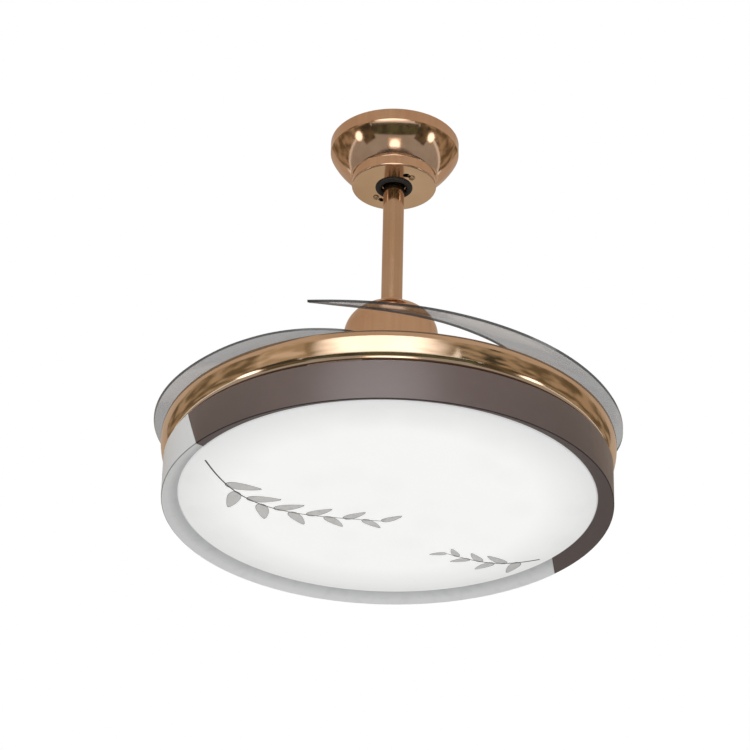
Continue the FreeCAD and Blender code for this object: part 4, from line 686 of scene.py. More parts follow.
class Bench:
    """Modelling steps that the pieces share."""

    @staticmethod
    def clear() -> None:
        """Leaves edit mode and selects nothing."""
        active = bpy.context.view_layer.objects.active
        if active and active.mode != "OBJECT":
            bpy.ops.object.mode_set(mode="OBJECT")
        bpy.ops.object.select_all(action="DESELECT")

    @staticmethod
    def pick(*pieces: bpy.types.Object) -> None:
        """Selects pieces, the first of them active.

        Args:
            pieces: The pieces.
        """
        Bench.clear()
        for piece in pieces:
            piece.select_set(True)
        bpy.context.view_layer.objects.active = pieces[0]

    @staticmethod
    def edit(piece: bpy.types.Object) -> None:
        """Takes a piece into edit mode with all of it selected.

        Args:
            piece: The piece.
        """
        Bench.pick(piece)
        bpy.ops.object.mode_set(mode="EDIT")
        bpy.ops.mesh.select_all(action="SELECT")

    @staticmethod
    def named(name: str) -> bpy.types.Object:
        """Names the piece that was just made.

        Args:
            name: Its name.

        Returns:
            The piece.
        """
        piece = bpy.context.object
        piece.name = piece.data.name = name
        return piece

    @staticmethod
    def drawn(name: str, outline: Outline, angle: float) -> bpy.types.Object:
        """Draws a closed outline in the upright plane at an angle, point after point.

        Args:
            name: The piece's name.
            outline: The cross-section.
            angle: The plane's angle in degrees.

        Returns:
            The piece, in edit mode with all of it selected.
        """
        east, north = polar(MM, angle)
        spots = [Vector((r * east, r * north, z * MM)) for r, z in outline.points]
        Bench.clear()
        bpy.ops.mesh.primitive_plane_add(size=MM)
        piece = Bench.named(name)
        Bench.edit(piece)
        bpy.ops.mesh.merge(type="CENTER")
        bpy.ops.transform.translate(value=spots[0])
        for start, end in zip(spots, spots[1:] + spots[:1]):
            bpy.ops.mesh.extrude_vertices_move(TRANSFORM_OT_translate={"value": end - start})
        bpy.ops.mesh.select_all(action="SELECT")
        bpy.ops.mesh.remove_doubles(threshold=LINE_WELD)
        return piece

    @staticmethod
    def spun(
        name: str, outline: Outline, steps: int, first: float = 0.0, span: float = 360.0, caps: bool = False
    ) -> bpy.types.Object:
        """Turns an outline about the fan's axis.

        Args:
            name: The piece's name.
            outline: The cross-section.
            steps: Faces round the turn.
            first: Where the turn starts, in degrees.
            span: How far it goes, in degrees.
            caps: Whether the ends of a part of a turn are closed.

        Returns:
            The piece, in object mode.
        """
        piece = Bench.drawn(name, outline, first)
        bpy.ops.mesh.spin(steps=steps, angle=-math.radians(span), center=(0, 0, 0), axis=(0, 0, 1))
        Bench.closed()
        if caps:
            Bench.edit(piece)
            bpy.ops.mesh.fill_holes(sides=0)
            Bench.closed()
        return piece

    @staticmethod
    def closed() -> None:
        """Merges the edited mesh's doubles, turns its faces outwards and leaves edit mode."""
        bpy.ops.mesh.select_all(action="SELECT")
        bpy.ops.mesh.remove_doubles(threshold=MESH_WELD)
        bpy.ops.mesh.normals_make_consistent(inside=False)
        bpy.ops.object.mode_set(mode="OBJECT")

    @staticmethod
    def rod(
        name: str, radius: float, low: float, high: float, spot: Point, sides: int = 32
    ) -> bpy.types.Object:
        """An upright round bar, in millimetres.

        Args:
            name: The bar's name.
            radius: Its radius.
            low: The height of its foot.
            high: The height of its top.
            spot: Where its axis stands.
            sides: Faces round it.

        Returns:
            The bar.
        """
        Bench.clear()
        place = (spot[0] * MM, spot[1] * MM, (low + high) / 2 * MM)
        depth = (high - low) * MM
        bpy.ops.mesh.primitive_cylinder_add(vertices=sides, radius=radius * MM, depth=depth, location=place)
        piece = Bench.named(name)
        Bench.fix(piece)
        return piece

    @staticmethod
    def fix(piece: bpy.types.Object) -> None:
        """Puts a piece's place into its mesh."""
        Bench.pick(piece)
        bpy.ops.object.transform_apply(location=True, rotation=True, scale=True)

    @staticmethod
    def joined(name: str, pieces: Sequence[bpy.types.Object]) -> bpy.types.Object:
        """Several pieces as one mesh.

        Args:
            name: The mesh's name.
            pieces: The pieces.

        Returns:
            The one piece.
        """
        Bench.pick(*pieces)
        bpy.ops.object.join()
        return Bench.named(name)

    @staticmethod
    def modified(piece: bpy.types.Object, kind: str, **settings: Any) -> None:
        """Adds a modifier to a piece and applies it.

        Args:
            piece: The piece.
            kind: The modifier's type.
            settings: Its settings.
        """
        Bench.pick(piece)
        bpy.ops.object.modifier_add(type=kind)
        modifier = piece.modifiers[-1]
        for key, value in settings.items():
            setattr(modifier, key, value)
        bpy.ops.object.modifier_apply(modifier=modifier.name)

    @staticmethod
    def cut(piece: bpy.types.Object, tools: Sequence[bpy.types.Object]) -> None:
        """Cuts tools out of a piece and throws them away.

        Args:
            piece: The piece.
            tools: The tools.
        """
        for tool in tools:
            Bench.modified(piece, "BOOLEAN", operation="DIFFERENCE", solver="EXACT", object=tool)
            bpy.data.objects.remove(tool)

    @staticmethod
    def copies(piece: bpy.types.Object, places: Sequence[Matrix]) -> list[bpy.types.Object]:
        """Copies a piece to several places, each copy with its own mesh, and throws the first one away.

        Args:
            piece: The piece, modelled at the origin.
            places: Where each copy goes.

        Returns:
            The copies.
        """
        made = []
        for place in places:
            twin = piece.copy()
            twin.data = piece.data.copy()
            twin.data.transform(place)
            bpy.context.collection.objects.link(twin)
            made.append(twin)
        bpy.data.objects.remove(piece)
        return made

    @staticmethod
    def smooth(piece: bpy.types.Object, *finishes: Finish, sharp: float = 30.0) -> bpy.types.Object:
        """Gives a piece its finishes and shades it smooth.

        Args:
            piece: The piece.
            finishes: The finishes, in the order of its faces' slots.
            sharp: Edges sharper than this stay sharp, in degrees.

        Returns:
            The piece.
        """
        for finish in finishes:
            piece.data.materials.append(finish.material())
        Bench.pick(piece)
        bpy.ops.object.shade_smooth_by_angle(angle=math.radians(sharp))
        return piece


def settle(piece: bpy.types.Object, body: str, stands_for: str | None = None) -> None:
    """Ties a finished piece to the frame.

    Args:
        piece: The piece.
        body: The body that it rides on.
        stands_for: The CAD node that it replaces.
    """
    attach(piece, body)
    if stands_for:
        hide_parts(stands_for)
    LOG.info("%s: %d faces on %s", piece.name, len(piece.data.polygons), body)


@dataclass
class Canopy:
    """The bowl at the ceiling, its keyholes and its two screws. Sizes in millimetres and degrees."""

    radius: float = 68.0
    sheet: float = 1.2
    rim: float = -0.5
    hem: Point = (0.4, 0.5)
    bowl: float = -13.0
    shoulder: float = 4.0
    swell: float = 80.0
    lean: float = 26.0
    fillet: float = 0.8
    base: float = -55.0
    foot: float = 44.6
    edge: float = 1.6
    hold: float = 0.3
    hole: float = 17.4
    screw_circle: float = 27.0
    keyhole: float = 3.6
    slot: float = 2.3
    slot_steps: int = 8
    angle: float = -46.0
    sweep: float = 16.0
    facets: int = 160

    @property
    def turns(self) -> Point:
        """The screws' angles."""
        return self.angle, self.angle + 180

    def outline(self) -> Outline:
        """The sheet's cross-section: stepped foot, wide swell, tight shoulder and hemmed rim.

        Returns:
            The outline.
        """
        wall, foot, base, edge = self.sheet, self.foot, self.base, self.edge
        line = Outline([(self.hole, base), (foot - edge, base)])
        line.round((foot, base + edge), (foot - edge, base + edge), 6)
        cosine, sine = math.cos(math.radians(self.lean)), math.sin(math.radians(self.lean))
        shoulder = (self.radius - self.shoulder, self.bowl)
        reach = self.swell - self.shoulder
        swell = (shoulder[0] - reach * cosine, shoulder[1] + reach * sine)
        last = math.degrees(math.acos((foot + self.fillet - swell[0]) / self.swell))
        low = swell[1] - self.swell * math.sin(math.radians(last))
        step = low - self.fillet
        line.to((foot, base + edge + self.hold), (foot, step - self.hold), (foot, step))
        line.round((foot + self.fillet, low), (foot + self.fillet, low - self.fillet), 4)
        line.sweep(swell, self.swell, -last, -self.lean, 20)
        line.sweep(shoulder, self.shoulder, -self.lean, 0, 8)
        line.to((self.radius, self.rim - self.hem[1]), (self.radius - self.hem[0], self.rim))
        line.to((self.radius - wall, self.rim))
        line.sweep(shoulder, self.shoulder - wall, 0, -self.lean, 6)
        line.sweep(swell, self.swell - wall, -self.lean, -last, 14)
        line.to((foot - wall, low), (foot - wall, base + edge))
        line.round((foot - edge, base + wall), (foot - edge, base + edge), 4)
        return line.to((self.hole, base + wall))

    def shell(self) -> bpy.types.Object:
        """The polished bowl with its rod hole and its keyholes.

        Returns:
            The bowl.
        """
        piece = Bench.spun("canopy_shell", self.outline(), self.facets)
        low, high = self.base - PROUD, self.base + self.sheet + PROUD
        tools = []
        for turn in self.turns:
            tools.append(Bench.rod("keyhole_eye", self.keyhole, low, high, self.spot(turn - self.sweep)))
            for part in range(self.slot_steps + 1):
                turned = turn - self.sweep * part / self.slot_steps
                tools.append(Bench.rod("keyhole_slot", self.slot, low, high, self.spot(turned), 16))
        Bench.cut(piece, tools)
        return Bench.smooth(piece, ROSE_GOLD)

    def spot(self, turn: float) -> Point:
        """A point on the screws' circle."""
        return polar(self.screw_circle, turn)

    def build(self) -> None:
        """Makes the bowl and the screws."""
        settle(self.shell(), Body.MOUNT.value, "canopy")
        seats = [Vector((*self.spot(turn), self.base)) for turn in self.turns]
        screw = CrossScrew(radius=2.0, length=14.9, head_radius=3.4, head=2.0)
        screws = screw.group("canopy_screw_pair", seats, BRASS_SCREW, False)
        settle(screws, Body.MOUNT.value, "canopy_screws")


@dataclass
class CrossScrew:
    """A pan-head screw with a cross recess and a thread.

    Sizes down to the thread's pitch in millimetres, the rest as shares of the head or of the shank.
    """

    radius: float
    length: float
    head_radius: float
    head: float
    pitch: float = 0.8
    flat: float = 0.45
    brim: float = 0.25
    root: float = 0.84
    tip: float = 0.7
    cross: float = 1.15
    bar: float = 0.26
    recess: float = 0.55
    bevel: float = 0.06
    facets: int = 24

    def model(self) -> bpy.types.Object:
        """One screw at the origin, its head's underside at height 0 and its head up.

        Returns:
            The screw.
        """
        flat, brim = self.head_radius * self.flat, self.head * self.brim
        line = Outline([(0.0, self.head), (flat, self.head)])
        line.round((self.head_radius, brim), (flat, brim), 5)
        line.to((self.head_radius, 0.0))
        turns = max(4, round(self.length / self.pitch))
        for turn in range(turns):
            top = -self.length * turn / turns
            line.to((self.radius, top), (self.radius * self.root, top - self.length / turns / 2))
        line.to((self.radius * self.tip, -self.length), (0.0, -self.length))
        piece = Bench.spun("cross_screw", line, self.facets)
        arm, depth = self.head_radius * self.cross, self.head * self.recess
        tools = []
        for size in ((arm, arm * self.bar), (arm * self.bar, arm)):
            Bench.clear()
            bpy.ops.mesh.primitive_cube_add(size=1.0, location=(0, 0, self.head * MM))
            bar = bpy.context.object
            bar.scale = (size[0] * MM, size[1] * MM, 2 * depth * MM)
            Bench.fix(bar)
            Bench.modified(bar, "BEVEL", width=arm * self.bevel * MM, segments=2)
            tools.append(bar)
        Bench.cut(piece, tools)
        return piece

    def group(
        self, name: str, seats: Sequence[Vector], finish: Finish, head_up: bool = True
    ) -> bpy.types.Object:
        """Copies of the screw, joined as one piece.

        Args:
            name: The piece's name.
            seats: The points under the screws' heads.
            finish: The screws' finish.
            head_up: Whether the heads point up.

        Returns:
            The piece.
        """
        turn = Matrix.Rotation(0.0 if head_up else math.pi, 4, "X")
        places = [Matrix.Translation(Vector(seat) * MM) @ turn for seat in seats]
        return Bench.smooth(Bench.joined(name, Bench.copies(self.model(), places)), finish)


@dataclass
class Hanger:
    """The rod and the bell over its coupling. Sizes in millimetres."""

    rod_radius: float = 11.0
    rod_wall: float = 1.5
    rod_top: float = -20.0
    rod_base: float = -273.0
    rod_edge: float = 0.4
    rod_facets: int = 72
    pin_holes: tuple[Point, ...] = ((-29.0, 2.55), (-245.0, 3.05))
    pin_reach: float = 20.0
    foot: float = -292.0
    shoulder: float = -238.0
    crown: float = -206.0
    neck: float = -198.0
    foot_radius: float = 52.0
    shoulder_radius: float = 48.5
    neck_radius: float = 15.0
    neck_round: float = 0.8
    edge: float = 0.5
    grub_hole: float = 2.05
    grub_reach: Point = (8.0, 18.0)
    bell_facets: int = 144
    sheet: float = 1.2
    fit: float = 0.05

    def rod(self) -> bpy.types.Object:
        """The plated tube, with its pins' cross holes.

        Returns:
            The tube.
        """
        outer, bore = self.rod_radius, self.rod_radius - self.rod_wall
        edge = self.rod_edge
        line = Outline([(outer, self.rod_base + edge), (outer, self.rod_top - edge)])
        line.to((outer - edge, self.rod_top))
        line.to((bore, self.rod_top), (bore, self.rod_base), (outer - edge, self.rod_base))
        piece = Bench.spun("rod_tube", line, self.rod_facets)
        tools = []
        for height, radius in self.pin_holes:
            bar = Bench.rod("pin_hole", radius, -self.pin_reach, self.pin_reach, (0, 0), 24)
            turned = Matrix.Rotation(math.pi / 2, 4, "Y")
            bar.data.transform(Matrix.Translation((0, 0, height * MM)) @ turned)
            tools.append(bar)
        Bench.cut(piece, tools)
        return Bench.smooth(piece, ROD_GOLD)

    def bell(self) -> bpy.types.Object:
        """The polished bell, with its neck, its eased foot and its grub screw's hole.

        Returns:
            The bell.
        """
        bore, edge = self.rod_radius + self.fit, self.edge
        corner = (self.neck_radius - self.neck_round, self.neck - self.neck_round)
        line = Outline([(bore, self.neck), (corner[0], self.neck)])
        line.round((self.neck_radius, corner[1]), corner, 4)
        line.to((self.neck_radius, self.crown + edge), (self.neck_radius + edge, self.crown))
        line.round((self.shoulder_radius, self.shoulder), (self.neck_radius, self.shoulder), 18)
        line.to((self.foot_radius, self.foot + edge), (self.foot_radius - edge, self.foot))
        line.to((self.foot_radius - self.sheet, self.foot))
        line.to((self.shoulder_radius - self.sheet, self.shoulder))
        line.round((self.neck_radius, self.crown - self.sheet), (self.neck_radius, self.shoulder), 12)
        line.to((bore, self.crown - self.sheet))
        piece = Bench.spun("bell_shell", line, self.bell_facets)
        hole = Bench.rod("grub_hole", self.grub_hole, *self.grub_reach, (0, 0), 24)
        height = (self.crown + self.neck) / 2
        hole.data.transform(Matrix.Translation((0, 0, height * MM)) @ Matrix.Rotation(-math.pi / 2, 4, "X"))
        Bench.cut(piece, [hole])
        return Bench.smooth(piece, ROSE_GOLD)

    def build(self) -> None:
        """Makes the rod and the bell."""
        settle(self.rod(), Body.HANGER.value, "downrod")
        settle(self.bell(), Body.HANGER.value, "rod_cup")


@dataclass
class Tray:
    """The spun tray, the motor's screws and the return springs. Sizes in millimetres and degrees."""

    radius: float = 228.7
    base_radius: float = 220.0
    base: float = -391.2
    depth: float = 29.4
    rim: float = 7.6
    rim_inset: float = 3.3
    sheet: float = 1.2
    hole: float = 30.0
    pivot_radius: float = 186.15
    first_pivot: float = 15.0
    blades: int = 3
    post_hole: float = 5.05
    foot_hole: float = 0.85
    tray_screws: float = 74.0
    tray_hole: float = 2.55
    screws_round: int = 6
    screw_circle: float = 84.0
    screw_top: float = -338.0
    facets: int = 240

    @property
    def pivots(self) -> list[float]:
        """The blades' angles."""
        return [self.first_pivot + 360 / self.blades * turn for turn in range(self.blades)]

    @property
    def screw_turns(self) -> list[float]:
        """The angles of a ring's screws, from its first one."""
        return [360 / self.screws_round * turn for turn in range(self.screws_round)]

    def pan(self) -> bpy.types.Object:
        """The polished pan: flat floor, bellied wall and a rim that curls in.

        Returns:
            The pan.
        """
        top, waist = self.base + self.depth, self.base + self.depth - self.rim
        lip = self.radius - self.rim_inset
        line = Outline([(self.hole, self.base), (self.base_radius, self.base)])
        line.round((self.radius, waist), (self.base_radius, waist), 16)
        line.round((lip, top), (lip, waist), 10)
        line.to((lip, top - self.sheet))
        line.round((self.radius - self.sheet, waist), (lip, waist), 8)
        line.round((self.base_radius, self.base + self.sheet), (self.base_radius, waist), 12)
        line.to((self.hole, self.base + self.sheet))
        piece = Bench.spun("tray_pan", line, self.facets)
        low, high = self.base - PROUD, self.base + self.sheet + PROUD
        start = ReturnSpring().path()[0] + Vector((self.pivot_radius, 0, 0))
        tools = []
        for turn in self.pivots:
            tools.append(Bench.rod("post_hole", self.post_hole, low, high, polar(self.pivot_radius, turn)))
            foot = Matrix.Rotation(math.radians(turn), 3, "Z") @ start
            tools.append(Bench.rod("foot_hole", self.foot_hole, low, high, foot.xy, 16))
        for turn in self.screw_turns:
            spot = polar(self.tray_screws, self.first_pivot + turn)
            tools.append(Bench.rod("tray_hole", self.tray_hole, low, high, spot, 20))
        Bench.cut(piece, tools)
        return Bench.smooth(piece, TRAY_GOLD)

    def screws(self) -> bpy.types.Object:
        """The screws round the motor's flange.

        Returns:
            The screws, as one piece.
        """
        arm = Vector((self.screw_circle, 0, self.screw_top))
        seats = [Matrix.Rotation(math.radians(turn), 3, "Z") @ arm for turn in self.screw_turns]
        screw = CrossScrew(radius=2.0, length=8.0, head_radius=3.4, head=3.0)
        return screw.group("motor_screw_ring", seats, ZINC)

    def build(self) -> None:
        """Makes the pan, the motor's screws and the springs."""
        settle(self.pan(), Body.ROTOR.value, "blade_tray")
        settle(self.screws(), Body.ROTOR.value, "motor_screws")
        out = Matrix.Translation((self.pivot_radius * MM, 0, 0))
        places = [Matrix.Rotation(math.radians(turn), 4, "Z") @ out for turn in self.pivots]
        springs = Bench.copies(ReturnSpring().model(), places)
        piece = Bench.smooth(Bench.joined("spring_set", springs), SPRING_WIRE, sharp=50.0)
        settle(piece, Body.ROTOR.value, "return_springs")


@dataclass
class ReturnSpring:
    """A torsion spring round a blade's barrel. Sizes in millimetres."""

    wire: float = 0.8
    radius: float = 15.5
    pitch: float = 2.5
    turns: int = 6
    low: float = -377.7
    foot_radius: float = 31.0
    foot: float = -391.2
    tail: float = 8.0
    bend: float = 3.0
    steps: int = 24

    def path(self) -> list[Vector]:
        """The wire's line: foot, straight leg, coil and tail, about its own pivot.

        Returns:
            The line's points, in millimetres.
        """
        run = math.sqrt(self.foot_radius**2 - self.radius**2)
        first = math.atan2(run, self.radius)
        side = Vector((-math.sin(first), math.cos(first), 0))
        start = Vector((self.radius * math.cos(first), self.radius * math.sin(first), self.low))
        knee = start - side * run
        points = [Vector((knee.x, knee.y, self.foot)), Vector((knee.x, knee.y, self.low - self.bend)), knee]
        points += [knee + side * self.bend, knee + side * run / 2]
        for step in range(self.steps * self.turns + 1):
            angle = first + 2 * math.pi * step / self.steps
            rise = self.low + self.pitch * step / self.steps
            points.append(Vector((self.radius * math.cos(angle), self.radius * math.sin(angle), rise)))
        heading = (points[-1] - points[-2]).normalized()
        return points + [points[-1] + heading * self.tail / 2, points[-1] + heading * self.tail]

    def model(self) -> bpy.types.Object:
        """One spring of smooth wire, about the origin.

        Returns:
            The spring.
        """
        points = self.path()
        Bench.clear()
        bpy.ops.curve.primitive_nurbs_path_add()
        curve = bpy.context.object
        curve.data.splines.clear()
        spline = curve.data.splines.new("NURBS")
        spline.points.add(len(points) - 1)
        for spot, point in zip(spline.points, points):
            spot.co = (*(point * MM), 1.0)
        spline.order_u = 3
        spline.use_endpoint_u = True
        spline.resolution_u = 3
        curve.data.dimensions = "3D"
        curve.data.bevel_depth = self.wire * MM
        curve.data.bevel_resolution = 2
        curve.data.use_fill_caps = True
        Bench.pick(curve)
        bpy.ops.object.convert(target="MESH")
        return bpy.context.object


@dataclass
class FoldingBlade:
    """The clear blade and its screws, and their copies. Sizes in millimetres and degrees."""

    count: int = 3
    radius: float = 235.7
    width: float = 68.0
    thickness: float = 2.5
    span: float = 125.0
    pitch: float = 24.0
    lift: float = 27.0
    camber: float = 2.4
    base: float = -356.4
    pivot_radius: float = 186.15
    first_pivot: float = 15.0
    eye: float = 10.5
    heading: float = -82.0
    screw_places: tuple[Point, ...] = ((22.0, 12.0), (22.0, -12.0), (38.0, 0.0))
    screw_hole: float = 2.05
    screw_seat: float = 4.05
    below: float = 3.0
    above: float = 6.0
    grid: tuple[int, int] = (150, 14)
    stations: tuple[tuple[float, ...], ...] = (
        (-0.062, 0.42, 0.38, 0.00, 0.00),
        (-0.050, 0.36, 0.52, 0.00, 0.00),
        (-0.025, 0.27, 0.72, 0.00, 0.00),
        (0.010, 0.19, 0.88, 0.00, 0.00),
        (0.045, 0.12, 0.98, 0.00, 0.00),
        (0.080, 0.07, 1.04, 0.00, 0.00),
        (0.120, 0.03, 1.08, 0.00, 0.00),
        (0.160, 0.01, 1.09, 0.04, 0.00),
        (0.210, 0.00, 1.08, 0.18, 0.01),
        (0.270, 0.00, 1.06, 0.42, 0.02),
        (0.330, 0.00, 1.04, 0.66, 0.04),
        (0.400, 0.00, 1.02, 0.86, 0.09),
        (0.480, 0.00, 1.00, 0.97, 0.16),
        (0.640, 0.00, 0.96, 1.00, 0.32),
        (0.800, 0.00, 0.85, 1.00, 0.54),
        (0.900, 0.00, 0.66, 1.00, 0.71),
        (0.960, 0.01, 0.42, 1.00, 0.86),
        (1.000, 0.03, 0.07, 1.00, 1.00),
    )

    def station(self, along: float) -> list[float]:
        """The shape at a place along the blade.

        Args:
            along: The place, as a share of the span.

        Returns:
            Inset, width, pitch and lift shares.
        """
        rows = self.stations
        last = len(rows) - 2
        index = next((i for i in range(last + 1) if along <= rows[i + 1][0]), last)
        before, start, end, after = (rows[min(max(index + k, 0), last + 1)] for k in (-1, 0, 1, 2))
        gap = end[0] - start[0]
        t = min(max((along - start[0]) / gap, 0.0), 1.0)
        values = []
        for k in range(1, 5):
            rise = fall = end[k] - start[k]
            if before is not start:
                rise = (end[k] - before[k]) / (end[0] - before[0]) * gap
            if after is not end:
                fall = (after[k] - start[k]) / (after[0] - start[0]) * gap
            values.append(
                (2 * t**3 - 3 * t**2 + 1) * start[k] + (t**3 - 2 * t**2 + t) * rise
                + (3 * t**2 - 2 * t**3) * end[k] + (t**3 - t**2) * fall
            )
        return values

    def point(self, along: float, across: float) -> Vector:
        """A point of the blade's underside, in metres.

        Args:
            along: The place along the span.
            across: The place over the chord, from the inner edge to the outer one.

        Returns:
            The point.
        """
        inset, width, pitch, lift = self.station(along)
        lean = math.radians(pitch * self.pitch)
        outer, chord = self.radius - inset * self.width, width * self.width
        low = self.base + lift * self.lift
        t = 1 - across
        bow = 4 * t * (1 - t) * self.camber * pitch * width
        radius = outer - chord * t + bow * math.sin(lean)
        height = low + chord * t * math.tan(lean) + bow * math.cos(lean)
        return Vector((*polar(radius, self.first_pivot - self.span * along), height)) * MM

    def screw_spots(self) -> list[Vector]:
        """The screws' places.

        Returns:
            The places, in millimetres.
        """
        east, north = polar(1.0, self.heading)
        along, across = Vector((east, north, 0)), Vector((-north, east, 0))
        places = [along * ahead + across * aside for ahead, aside in self.screw_places]
        turn = Matrix.Rotation(math.radians(self.first_pivot), 3, "Z")
        return [turn @ (Vector((self.pivot_radius, 0, 0)) + place) for place in places]

    def leaf(self) -> bpy.types.Object:
        """The clear leaf with its eye, screw holes and dark cut edge.

        Returns:
            The leaf.
        """
        Bench.clear()
        columns, rows = self.grid
        bpy.ops.mesh.primitive_grid_add(x_subdivisions=columns, y_subdivisions=rows, size=2)
        piece = bpy.context.object
        first, last = self.stations[0][0], self.stations[-1][0]
        for vertex in piece.data.vertices:
            share = (vertex.co.x + 1) / 2
            vertex.co = self.point(first + (last - first) * share, (vertex.co.y + 1) / 2)
        piece.data.update()
        for finish in (SMOKE, SMOKE_EDGE):
            piece.data.materials.append(finish.material())
        Bench.modified(piece, "SOLIDIFY", thickness=self.thickness * MM, offset=1.0, material_offset_rim=1)
        low, high, seat = self.base - self.below, self.base + self.above, self.base + self.thickness
        pivot = Matrix.Rotation(math.radians(self.first_pivot), 3, "Z") @ Vector((self.pivot_radius, 0, 0))
        tools = [Bench.rod("eye", self.eye, low, high, pivot.xy, 48)]
        for spot in self.screw_spots():
            tools.append(Bench.rod("screw_hole", self.screw_hole, low, high, spot.xy, 24))
            tools.append(Bench.rod("screw_seat", self.screw_seat, seat, high, spot.xy, 32))
        Bench.cut(piece, tools)
        return Bench.smooth(piece, sharp=40.0)

    def build(self) -> None:
        """Makes a leaf and its screws, and copies them round the tray."""
        seats = [Vector((spot.x, spot.y, self.base + self.thickness)) for spot in self.screw_spots()]
        screw = CrossScrew(radius=2.0, length=6.1, head_radius=4.0, head=1.8)
        screws = screw.group("blade_screw_set", seats, ZINC)
        turns = [Matrix.Rotation(math.tau * number / self.count, 4, "Z") for number in range(self.count)]
        pairs = zip(Bench.copies(self.leaf(), turns), Bench.copies(screws, turns))
        for number, (leaf, screws) in enumerate(pairs, 1):
            leaf.name = leaf.data.name = f"clear_blade_{number}"
            screws.name = screws.data.name = f"blade_screw_set_{number}"
            settle(leaf, f"blade_unit_{number}", f"blade_{number}")
            settle(screws, f"blade_unit_{number}", f"blade_screws_{number}")


@dataclass
class TrimRing:
    """The two-tone ring round the lamp. Sizes in millimetres and degrees."""

    radius: float = 225.0
    top: float = -393.2
    base: float = -434.7
    sheet: float = 1.6
    edge: float = 0.8
    hem: float = 0.4
    nose: Point = (0.3, 0.12)
    flange: float = 9.0
    lip: float = 16.0
    rise: float = 7.6
    first_seam: float = -147.6
    second_seam: float = 36.5
    tilt: float = 22.0
    skew: float = 34.0
    reach: float = 12.0
    gap: float = 0.12
    notch: float = 16.0
    notch_half: float = 7.0
    notch_depth: float = 5.3
    notch_proud: float = 1.0
    facet: float = 1.2
    end_facets: int = 24
    notch_facets: int = 14
    downwards: float = -0.5

    def outline(self) -> Outline:
        """The ring's cross-section: wall, flange above and sloping lip below.

        Returns:
            The outline.
        """
        slope = math.atan2(self.rise, self.lip)
        drop = self.sheet / math.cos(slope)
        bore, mouth, flange = self.radius - self.sheet, self.radius - self.lip, self.radius - self.flange
        crest, (nose, tuck) = self.base + self.rise, self.nose
        corner = (self.radius - self.edge, self.base + self.edge)
        line = Outline([(self.radius, self.top - self.hem), (self.radius, corner[1])])
        line.round((corner[0], self.base), corner, 4)
        line.to((mouth + nose, crest - tuck), (mouth, crest + nose), (mouth, crest + drop))
        line.to((bore, self.base + drop + self.sheet * math.tan(slope)), (bore, self.top - self.sheet))
        line.to((flange, self.top - self.sheet), (flange, self.top), (self.radius - self.hem, self.top))
        return line

    def seam(self, angle: float) -> tuple[Vector, Vector]:
        """A slanted seam's plane.

        Args:
            angle: Where it crosses the wall's middle.

        Returns:
            A point on it and its normal, towards rising angles.
        """
        turn = Matrix.Rotation(math.radians(angle), 3, "Z")
        skew = Matrix.Rotation(math.radians(self.skew), 3, "Z")
        lean = skew @ Matrix.Rotation(math.radians(self.tilt), 3, "X")
        middle = Vector((self.radius, 0, (self.base + self.top) / 2)) * MM
        return turn @ middle, turn @ lean @ Vector((0, 1, 0))

    def end(self, angle: float, side: int) -> bpy.types.Object:
        """A short run of the ring that stops at a seam.

        Args:
            angle: The seam's angle.
            side: 1 for the run beyond it, -1 for the run before it.

        Returns:
            The run, capped at the seam.
        """
        piece = Bench.spun("ring_end", self.outline(), self.end_facets, angle - self.reach, 2 * self.reach)
        point, normal = self.seam(angle)
        Bench.edit(piece)
        bpy.ops.mesh.bisect(
            plane_co=point + normal * side * self.gap * MM, plane_no=normal * side,
            use_fill=True, clear_inner=True,
        )
        bpy.ops.object.mode_set(mode="OBJECT")
        return piece

    def notches(self, first: float, last: float) -> list[bpy.types.Object]:
        """Tools for the flange's notches between two angles.

        Args:
            first: The lower angle.
            last: The higher angle.

        Returns:
            The tools.
        """
        inner, proud = self.radius - self.flange, self.notch_proud
        corners = [(inner - proud, self.top + proud), (inner - proud, self.top - self.sheet - proud)]
        corners += [(inner + self.notch_depth, z) for _, z in reversed(corners)]
        tools = []
        for turn in (self.notch - 120, self.notch, self.notch + 120):
            if first < turn < last:
                start, span = turn - self.notch_half, 2 * self.notch_half
                outline = Outline(list(corners))
                tools.append(Bench.spun("notch", outline, self.notch_facets, start, span, caps=True))
        return tools

    def paint(self, piece: bpy.types.Object, finishes: Sequence[Finish]) -> None:
        """Paints the wall, the lip in a paler copy of the paint as painted light, and the edge between them
        in a dark copy as painted shade.

        Args:
            piece: The half ring.
            finishes: The wall's paint, the lip's paler copy (painted light) and the edge's dark copy
                (painted shade).
        """
        Bench.smooth(piece, *finishes)
        for face in piece.data.polygons:
            radius = math.hypot(face.center.x, face.center.y) / MM
            low = face.center.z / MM < self.base + self.edge
            # Downward faces of the lip take the paler copy: painted light.
            if face.normal.z < self.downwards and face.center.z / MM < self.top - 2 * self.flange:
                face.material_index = 1
            # The outer bottom bevel takes the dark copy: a painted shade line.
            if low and radius > self.radius - self.edge:
                face.material_index = 2

    def half(self, name: str, first: float, last: float, finishes: Sequence[Finish]) -> bpy.types.Object:
        """One half of the ring.

        Args:
            name: The piece's name.
            first: The seam that it starts at.
            last: The seam that it ends at.
            finishes: The wall's paint, the lip's paler copy (painted light) and the edge's dark copy
                (painted shade).

        Returns:
            The half.
        """
        start, stop = first + self.reach, last - self.reach
        steps = round((stop - start) / self.facet)
        middle = Bench.spun("ring_run", self.outline(), steps, start, stop - start)
        piece = Bench.joined(name, [middle, self.end(first, 1), self.end(last, -1)])
        Bench.edit(piece)
        Bench.closed()
        Bench.cut(piece, self.notches(first, last))
        self.paint(piece, finishes)
        return piece

